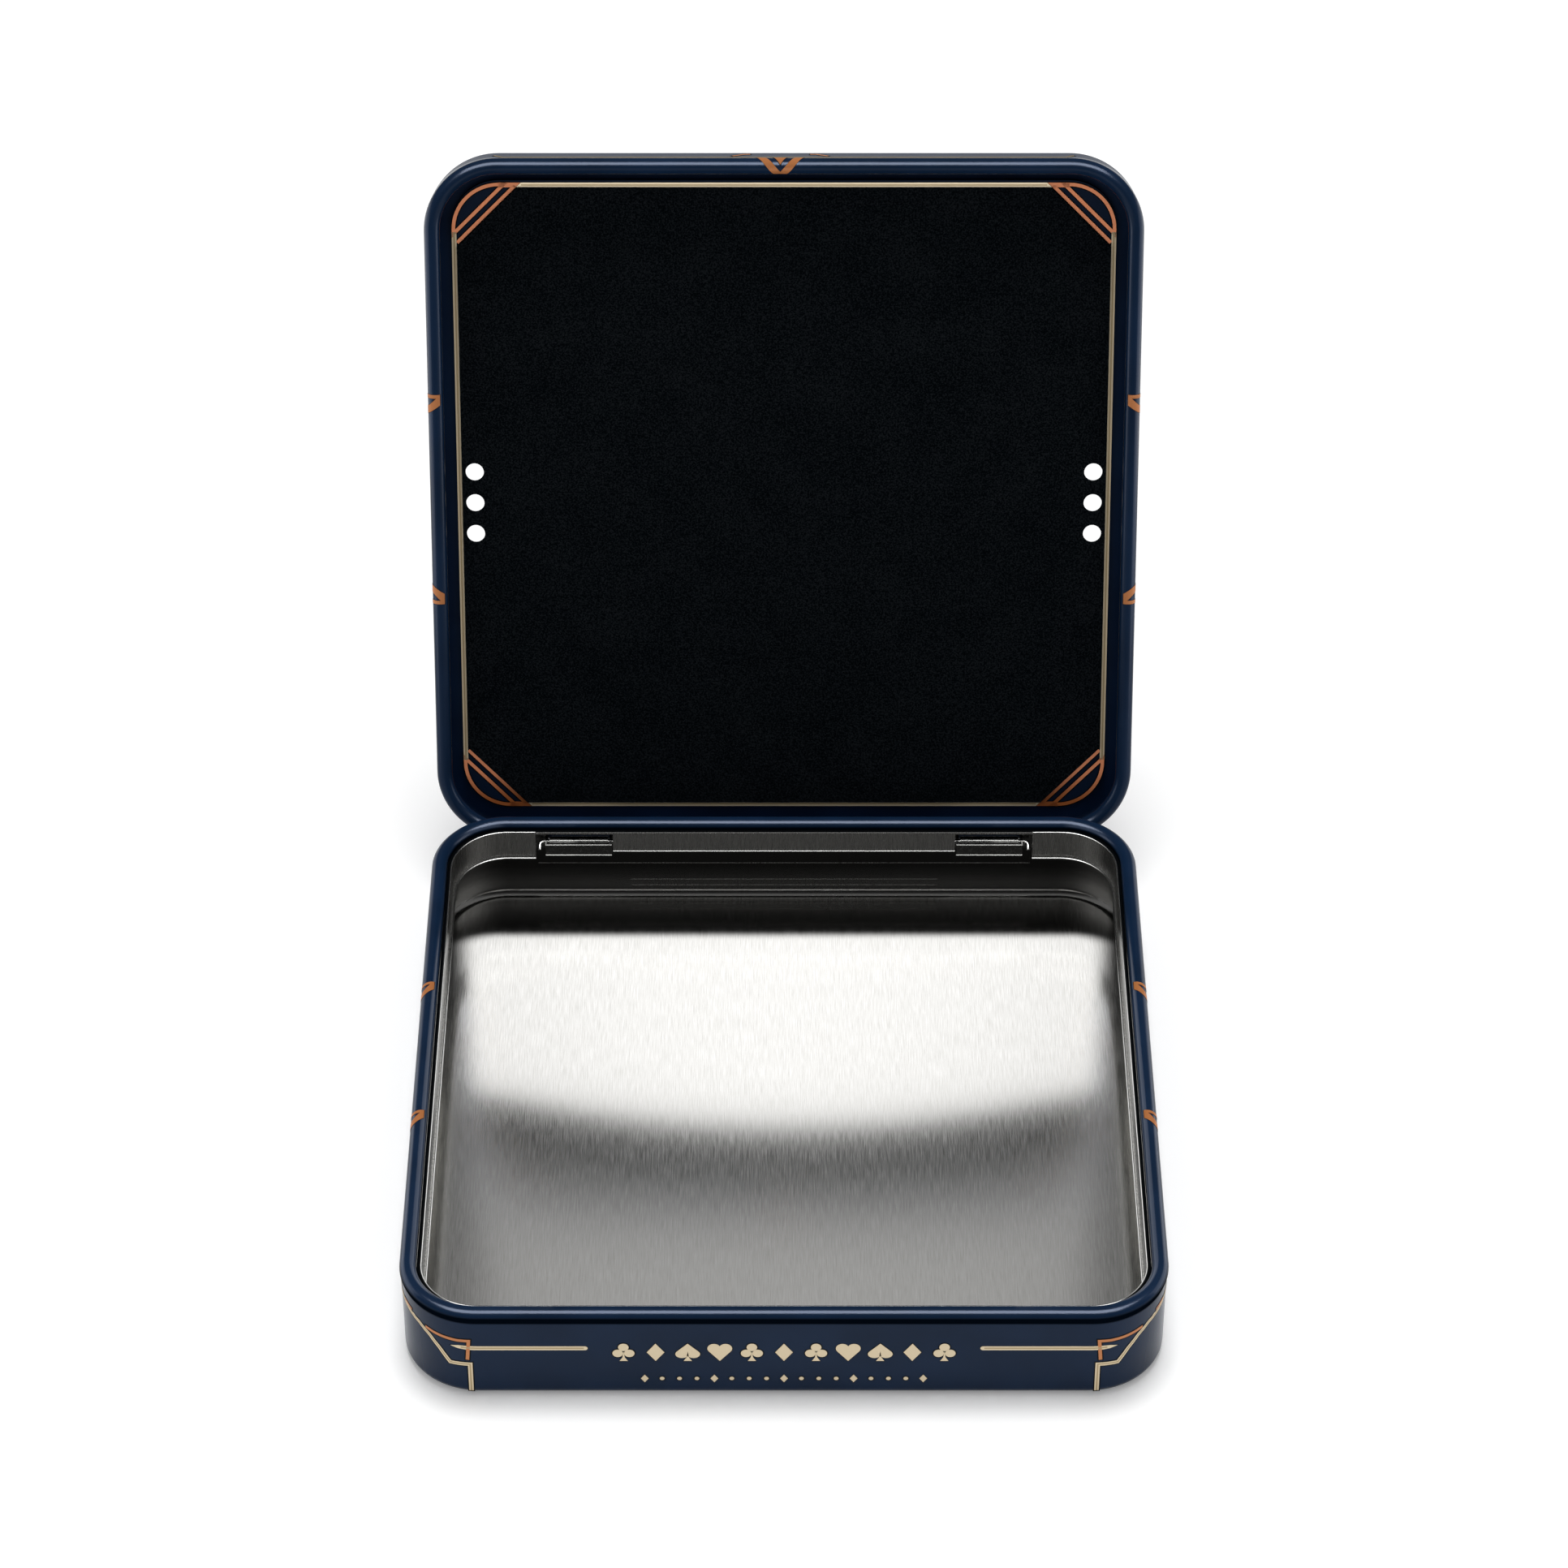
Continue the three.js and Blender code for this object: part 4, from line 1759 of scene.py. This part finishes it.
    def further(self, place: Place) -> Place:
        """Returns places moved out with the lid's far wall."""
        return lambda along, up, proud: place(along, up, proud) - BACK * self.plan.lid_reach

    def chevron(self, slant: float) -> list[Shape]:
        """Shapes a rim chevron: a crossbar, and a bar that leans out from its inner end.

        Args:
            slant: How far its outer end is pushed along the rim.

        Returns:
            The outlines of its two bars, rolled over the rim.
        """
        reach = self.chevron_reach
        crossbar = ((0.0, 0.0), (0.0, reach), (0.7, reach), (0.7, 0.0))
        leaning = ((0.7, 1.65), (0.7, reach), (2.05, reach), (3.75, 0.0), (2.35, 0.0))
        return [
            self.rolled([(x + slant * (1 - y / reach), y) for x, y in bar])
            for bar in (crossbar, leaning)
        ]

    def rolled(self, shape: Sequence[Point], step: float = 0.2) -> Shape:
        """Rolls a shape over a rim, as it should look from straight above.

        Args:
            shape: Its outline, with distances across the rim as they show from above.
            step: How far apart its points may lie across the rim.

        Returns:
            The outline with distances over the curl.
        """
        rolled = []
        for start, end in zip(shape, (*shape[1:], shape[0])):
            count = max(1, round(abs(end[1] - start[1]) / step))
            for i in range(count):
                x, across = (a + (b - a) * i / count for a, b in zip(start, end))
                rolled.append((x, self.plan.curl * math.acos(1 - across / self.plan.curl)))
        return tuple(rolled)

    def on_lid_wall(self) -> None:
        """Prints the fine line and the slanted dashes on the lid's far wall."""
        line_width, dash_width = 0.3, 0.5
        dashes = [moved(d, self.vee_shift) for d in (self.wall_dash, mirrored(self.wall_dash))]
        copper = Stamp(FoilTone.COPPER, tuple((dash, dash_width, False) for dash in dashes))
        line = Stamp(FoilTone.SHADE, ((self.wall_line, line_width, False),))
        place = self.further(partial(self.plan.on_wall, self.plan.stand_out))
        self.lay("lid_far_wall", Body.LID, place, line, copper)


@dataclass(frozen=True)
class MirroredPanel:
    """A light panel that only reflections show, where 1 is the brightness of white.

    Its size and its place are in metres, and its turns about X and Y in degrees.
    """

    name: str
    size: Point
    place: tuple[float, float, float]
    turn: Point
    level: float
    gleam: Gleam

    def build(self, receivers: bpy.types.Collection) -> bpy.types.Light:
        """Builds the panel.

        Args:
            receivers: The pieces that it gleams on.

        Returns:
            The panel's light.
        """
        lamp = bpy.data.lights.new(self.name, "AREA")
        lamp.shape = "RECTANGLE"
        lamp.size, lamp.size_y = self.size
        lamp.energy = WHITE_POWER * self.size[0] * self.size[1] * self.level
        panel = bpy.data.objects.new(self.name, lamp)
        panel.location = self.place
        panel.rotation_euler = (math.radians(self.turn[0]), math.radians(self.turn[1]), 0)
        for rays in ("camera", "diffuse", "transmission", "volume_scatter"):
            setattr(panel, f"visible_{rays}", False)
        panel.light_linking.receiver_collection = receivers
        bpy.context.scene.collection.objects.link(panel)
        return lamp


# The panels that stand in pairs: name, size, place, turn, level and group of the right-hand one.
SIDE_PANELS = (
    ("panel", (0.16, 0.25), (0.25, 0.065, 0.08), 90, 3.0, Gleam.LACQUER),
    ("far_panel", (0.12, 0.27), (0.25, 0.325, 0.06), 90, 1.2, Gleam.LACQUER),
    ("rim_panel", (0.06, 0.12), (0.04, 0, 0.052), -90, 3.0, Gleam.RIM),
    ("hem_panel", (0.06, 0.12), (0.04, 0, 0.052), -90, 1.8, Gleam.STEEL),
)
PANELS = (
    MirroredPanel("overhead_panel", (1.2, 0.62), (0, -0.26, 0.9), (0, 0), 24.0, Gleam.LACQUER),
    *(
        MirroredPanel(f"{label}_{name}", size, (side * x, y, z), (0, side * turn), level, gleam)
        for name, size, (x, y, z), turn, level, gleam in SIDE_PANELS
        for label, side in (("left", -1), ("right", 1))
    ),
    MirroredPanel("edge_panel", (1.2, 0.5), (0, -0.26, 0.9), (0, 0), 5.0, Gleam.STEEL),
    MirroredPanel("front_panel", (1.2, 0.9), (0, -1.2, 0.15), (90, 0), 3.0, Gleam.PRINT),
)


@dataclass
class Studio:
    """The pale floor, the soft light and the camera.

    The lamps that light the tin aren't mirrored in it. What it mirrors is set by the world's
    brightness from viewer to backdrop, and by panels that only reflections show. The rear panel's
    sizes are in mm: it is bright below an arch and dim above it, with rounded, faded edges.
    """

    gleams: dict[Gleam, bpy.types.Collection] = field(default_factory=dict)
    floor_half: float = 6.0
    floor_lift: float = 0.14
    lens: float = 116.05
    clip_start: float = 0.05
    camera_place: tuple[float, float, float] = (0.0, -0.68243, 0.65019)
    camera_pitch: float = 50.31
    ambient: float = 0.51
    key_strength: float = 1.75
    key_elevation: float = 80.0
    key_spread: float = 20.0
    surround: tuple[Point, ...] = (
        (0.0, 0.006),
        (0.115, 0.01),
        (0.3, 0.1),
        (0.6, 0.12),
        (0.75, 0.14),
        (0.88, 0.16),
        (0.98, 0.14),
    )
    panel_y: float = 58.0
    panel_half: float = 65.3
    panel_low: float = 2.2
    panel_high: float = 150.0
    panel_arch: float = 55.4
    arch_span: float = 50.0
    arch_fall: float = 0.0026
    arch_stops: tuple[Point, ...] = (
        (0.487, 1.0),
        (0.508, 0.01),
        (0.61, 0.015),
        (0.68, 0.11),
        (0.77, 0.19),
        (0.88, 0.22),
    )
    panel_round: float = 10.0
    panel_fade: float = 5.5
    low_crispness: float = 2.4
    panel_level: float = 0.92
    panel_falloff: float = 3.4e-5

    def build_floor(self) -> None:
        """Builds the floor, a wide matt sheet of white paper that stays white in soft shade."""
        bm = bmesh.new()
        bmesh.ops.create_grid(bm, x_segments=1, y_segments=1, size=self.floor_half)
        data = bpy.data.meshes.new("studio_floor")
        bm.to_mesh(data)
        bm.free()
        floor = bpy.data.objects.new("studio_floor", data)
        bpy.context.scene.collection.objects.link(floor)
        # White paper without any sheen, so that the floor shows only soft shade.
        paper = Finish("matt_white_paper", "#f9f9f9", 1.0, specular=0.0, grain_mm=0.0).make()
        tree = paper.node_tree
        values = {0: self.shown(tree), 1: self.floor_lift}
        lift = add_node(tree, "Math", "Value", values, operation="MULTIPLY")
        sockets = tree.nodes["Principled BSDF"].inputs
        sockets["Emission Color"].default_value = linear("#ffffff")
        tree.links.new(lift, sockets["Emission Strength"])
        data.materials.append(paper)

    def shown(self, tree: Tree) -> Socket:
        """Tells the rays that show a thing from the rays that only light others.

        Args:
            tree: The node tree.

        Returns:
            A socket that is 1 for camera, glossy and transmission rays, and else 0.
        """
        rays = add_node(tree, "LightPath", "Is Camera Ray", {}).node.outputs
        seen = rays["Is Camera Ray"]
        for kind in ("Is Glossy Ray", "Is Transmission Ray"):
            seen = add_node(tree, "Math", "Value", {0: seen, 1: rays[kind]}, operation="MAXIMUM")
        return seen

    def build_world(self) -> None:
        """Builds the world: even soft light, a white backdrop, and dark on the viewer's side."""
        world = bpy.data.worlds.new("studio_light")
        bpy.context.scene.world = world
        world.use_nodes = True
        tree = world.node_tree
        heading = add_node(tree, "TexCoord", "Generated", {})
        back = add_node(tree, "SeparateXYZ", "Y", {"Vector": heading})
        values = {"Value": back, "From Min": -1.0, "From Max": 1.0}
        turn = add_node(tree, "MapRange", "Result", values)
        stops = [(position, grey(level)) for position, level in self.surround]
        mirrored_level = add_node(tree, "ValToRGB", "Color", {"Fac": turn}, stops)
        camera_ray = add_node(tree, "LightPath", "Is Camera Ray", {})
        values = {0: mirrored_level, 1: camera_ray}
        seen = add_node(tree, "Math", "Value", values, operation="MAXIMUM")
        values = {"Factor": self.shown(tree), "A": self.ambient, "B": seen}
        level = add_node(tree, "Mix", "Result", values, data_type="FLOAT")
        backdrop = tree.nodes["Background"]
        backdrop.inputs["Color"].default_value = linear("#ffffff")
        tree.links.new(level, backdrop.inputs["Strength"])

    def build_key(self) -> None:
        """Builds the key light, high above and a little behind the tin."""
        lamp = bpy.data.lights.new("key_light", "SUN")
        lamp.energy = self.key_strength
        lamp.angle = math.radians(self.key_spread)
        key = bpy.data.objects.new("key_light", lamp)
        key.rotation_euler = (-math.radians(90 - self.key_elevation), 0, 0)
        key.visible_glossy = False
        bpy.context.scene.collection.objects.link(key)

    def build_rear_panel(self) -> None:
        """Builds the panel that the tray's floor mirrors."""
        size = (2 * self.panel_half * METRES, (self.panel_high - self.panel_low) * METRES)
        middle = (self.panel_high + self.panel_low) / 2 * METRES
        place = (0, self.panel_y * METRES, middle)
        level, gleam = self.panel_level, Gleam.INSIDE
        panel = MirroredPanel("rear_panel", size, place, (-90, 0), level, gleam)
        lamp = panel.build(self.gleams[gleam])
        lamp.use_nodes = True
        tree = lamp.node_tree
        place = add_node(tree, "NewGeometry", "Position", {})
        axes = add_node(tree, "SeparateXYZ", "X", {"Vector": place}).node.outputs
        values = {0: axes["X"], 1: axes["X"]}
        square = add_node(tree, "Math", "Value", values, operation="MULTIPLY")
        values = {0: square, 1: self.arch_fall / METRES, 2: axes["Z"]}
        arch = add_node(tree, "Math", "Value", values, operation="MULTIPLY_ADD")
        low, high = (
            (self.panel_arch + side * self.arch_span) * METRES for side in (-1, 1)
        )
        values = {"Value": arch, "From Min": low, "From Max": high}
        above = add_node(tree, "MapRange", "Result", values)
        stops = [(position, grey(level)) for position, level in self.arch_stops]
        bright = add_node(tree, "ValToRGB", "Color", {"Fac": above}, stops)
        values = {0: square, 1: -self.panel_falloff / METRES**2, 2: 1.0}
        dimmed = add_node(tree, "Math", "Value", values, operation="MULTIPLY_ADD")
        values = {0: self.within(tree, axes), 1: dimmed}
        inside = add_node(tree, "Math", "Value", values, operation="MULTIPLY")
        level = add_node(tree, "Math", "Value", {0: bright, 1: inside}, operation="MULTIPLY")
        tree.links.new(level, tree.nodes["Emission"].inputs["Strength"])

    def within(self, tree: Tree, axes: Mapping[str, Socket]) -> Socket:
        """Tells the rear panel's rounded rectangle from its faded edges.

        Args:
            tree: The panel's node tree.
            axes: The outputs that give a point's X, Y and Z.

        Returns:
            A socket that is 1 inside and 0 outside.
        """
        side = (self.panel_half - self.panel_round) * METRES
        low = (self.panel_low + self.panel_round / self.low_crispness) * METRES
        across = add_node(tree, "Math", "Value", {0: axes["X"]}, operation="ABSOLUTE")
        past_side = add_node(tree, "Math", "Value", {0: across, 1: side}, operation="SUBTRACT")
        below = add_node(tree, "Math", "Value", {0: low, 1: axes["Z"]}, operation="SUBTRACT")
        values = {0: below, 1: self.low_crispness}
        past_low = add_node(tree, "Math", "Value", values, operation="MULTIPLY")
        past = {}
        for axis, reach in (("X", past_side), ("Y", past_low)):
            past[axis] = add_node(tree, "Math", "Value", {0: reach, 1: 0.0}, operation="MAXIMUM")
        corner = add_node(tree, "CombineXYZ", "Vector", past)
        outward = add_node(tree, "VectorMath", "Value", {0: corner}, operation="LENGTH")
        start, end = self.panel_round, self.panel_round - self.panel_fade
        values = {"Value": outward, "From Min": start * METRES, "From Max": end * METRES}
        return add_node(tree, "MapRange", "Result", values, interpolation_type="SMOOTHSTEP")

    def shine_on(self, gleam: Gleam, *pieces: Object) -> None:
        """Lets the panels of a group gleam on some pieces.

        Args:
            gleam: The group.
            *pieces: The pieces.
        """
        for piece in pieces:
            self.gleams[gleam].objects.link(piece)

    def build_camera(self) -> None:
        """Builds the camera at the photograph's angle."""
        scene = bpy.context.scene
        camera = bpy.data.objects.new("camera", bpy.data.cameras.new("camera"))
        camera.data.lens = self.lens
        camera.data.clip_start = self.clip_start
        camera.location = self.camera_place
        camera.rotation_euler = (math.radians(self.camera_pitch), 0, 0)
        scene.collection.objects.link(camera)
        scene.camera = camera
        scene.view_settings.view_transform = "Standard"

    def build(self) -> None:
        """Builds the whole studio."""
        self.gleams = {gleam: bpy.data.collections.new(gleam.value) for gleam in Gleam}
        self.build_floor()
        self.build_world()
        self.build_key()
        self.build_rear_panel()
        for panel in PANELS:
            panel.build(self.gleams[panel.gleam])
        self.build_camera()


def build_tray(studio: Studio) -> None:
    """Builds the tray and the two hinges.

    Args:
        studio: The studio, which its pieces mirror.
    """
    # Deep navy with a soft sheen, and painted shade: a dead dark band in the fold under the rim.
    fold = (("Z", 17.5, 18.0), ("Z", 19.7, 19.1))
    navy = StovedLacquer("navy_stoved_lacquer_folded", "#10213a", 0.22, painted_shade_zone=fold).make()
    # Bright plate, streaked from front to back, with painted shade that darkens its front and rear
    # walls as they rise.
    tinplate = BrushedTinplate("brushed_tinplate", "#f0efec", 0.16, 1.0).make()
    # Greyer plate, streaked up and down, that sets the collar off from the floor, with painted
    # shade that darkens the collar's sides towards their top.
    band = BrushedTinplate(
        "brushed_tinplate_band",
        "#b4b3b0",
        0.26,
        0.82,
        shades=((0.25, "#a3a29f"), (0.75, "#bdbcb9")),
        stroke_mm=(0.16, 0.16, 4.5),
        painted_shade_by_height=((13.2, 1.0), (14.2, 0.5), (15.2, 0.22), (20.0, 0.22)),
        painted_shade_axis="X",
        painted_shade_mm=(59.0, 63.0),
    ).make()
    # A blurred grey mirror for the hinge strip, and a brighter one that glints on wire and hems.
    steel = RolledSteel("bright_rolled_steel", "#8f8f8d", 0.25, 1.0).make()
    wire = RolledSteel("drawn_steel_wire", "#c0c0be", 0.22, 1.0).make()
    # Painted shade: a dull black bead that darkens the gap between rim and collar.
    gap_shade = PrintedBoard("black_painted_gap_shade", "#05070a", 0.6).make()
    tray = Tray()
    outside, inside = tray.build_shell(navy, tinplate)
    studio.shine_on(Gleam.LACQUER, outside)
    studio.shine_on(Gleam.RIM, outside)
    studio.shine_on(Gleam.INSIDE, inside)
    tray.build_collar(band)
    tray.build_marks(band)
    tray.build_gap_shade(gap_shade)
    studio.shine_on(Gleam.STEEL, tray.build_hem(wire))
    for side in (-1, 1):
        hinge = Hinge(side)
        studio.shine_on(Gleam.STEEL, hinge.build_bracket(steel), hinge.build_pin(wire))
        studio.shine_on(Gleam.STEEL, hinge.build_strap(steel))


def build_lid(studio: Studio) -> Lid:
    """Builds the lid.

    Args:
        studio: The studio, which its pieces mirror.

    Returns:
        The lid.
    """
    # The tray's navy, with painted shade on its far wall: its sheen is taken off there, so that the
    # wall shows dark.
    far_wall = (("Z", 131.0, 133.0), ("Y", 118.4, 118.9))
    painted_far_shade = {"painted_shade_zone": far_wall, "painted_shade_specular": 0.02, "painted_shade_colour": "#11233c"}
    navy = StovedLacquer("navy_stoved_lacquer_lid", "#10213a", 0.22, **painted_far_shade).make()
    # A flatter navy inside, which shows one even tone.
    shades = ((0.35, "#0a1c36"), (0.65, "#0e2442"))
    inside = StovedLacquer("navy_stoved_lacquer_inside", "#0c203c", 0.4, shades=shades).make()
    lid = Lid()
    studio.shine_on(Gleam.LACQUER, lid.build_shell(navy, inside))
    # Near-black navy print, and a felt that only its fibre ends lift from black.
    lid.build_board(PrintedBoard("litho_printed_board", "#0a1a30", 0.6).make())
    lid.build_felt(FlockedFelt("black_flocked_felt", "#04070a", 1.0).make())
    return lid


def decorate(studio: Studio, lid: Lid) -> None:
    """Prints the tin.

    Args:
        studio: The studio, which the foil mirrors.
        lid: The lid.
    """
    # Pale gilt with a middle line of painted shade that rounds it, two coppers, the deeper one
    # partly painted shade for the fans in the lid, and a dark keyline that edges them: ink that
    # also paints the shadow round the raised foil.
    foils: dict[FoilTone, Material] = {}
    for tone, name, roughness in (
        (FoilTone.GILT, "gilt_foil", 0.45),
        (FoilTone.SHADE, "gilt_foil_shaded", 0.5),
        (FoilTone.COPPER, "copper_foil", 0.45),
        (FoilTone.DEEP_COPPER, "deep_copper_foil", 0.45),
    ):
        foils[tone] = StampedFoil(name, tone.value, roughness).make()
    ink_and_shadow = FoilTone.KEYLINE
    foils[ink_and_shadow] = PrintedBoard("dark_keyline_ink_and_painted_shadow", ink_and_shadow.value, 0.6).make()
    decoration = Decoration(foils)
    decoration.on_front()
    decoration.pips_on_front()
    studio.shine_on(Gleam.PRINT, *decoration.on_board(lid.board_face))
    decoration.on_rims()
    decoration.on_lid_wall()


def main() -> None:
    """Builds the studio and the tin, piece by piece."""
    logging.basicConfig(level=logging.INFO, format="%(name)s: %(message)s")
    studio = Studio()
    studio.build()
    build_tray(studio)
    decorate(studio, build_lid(studio))


if __name__ == "__main__":
    main()
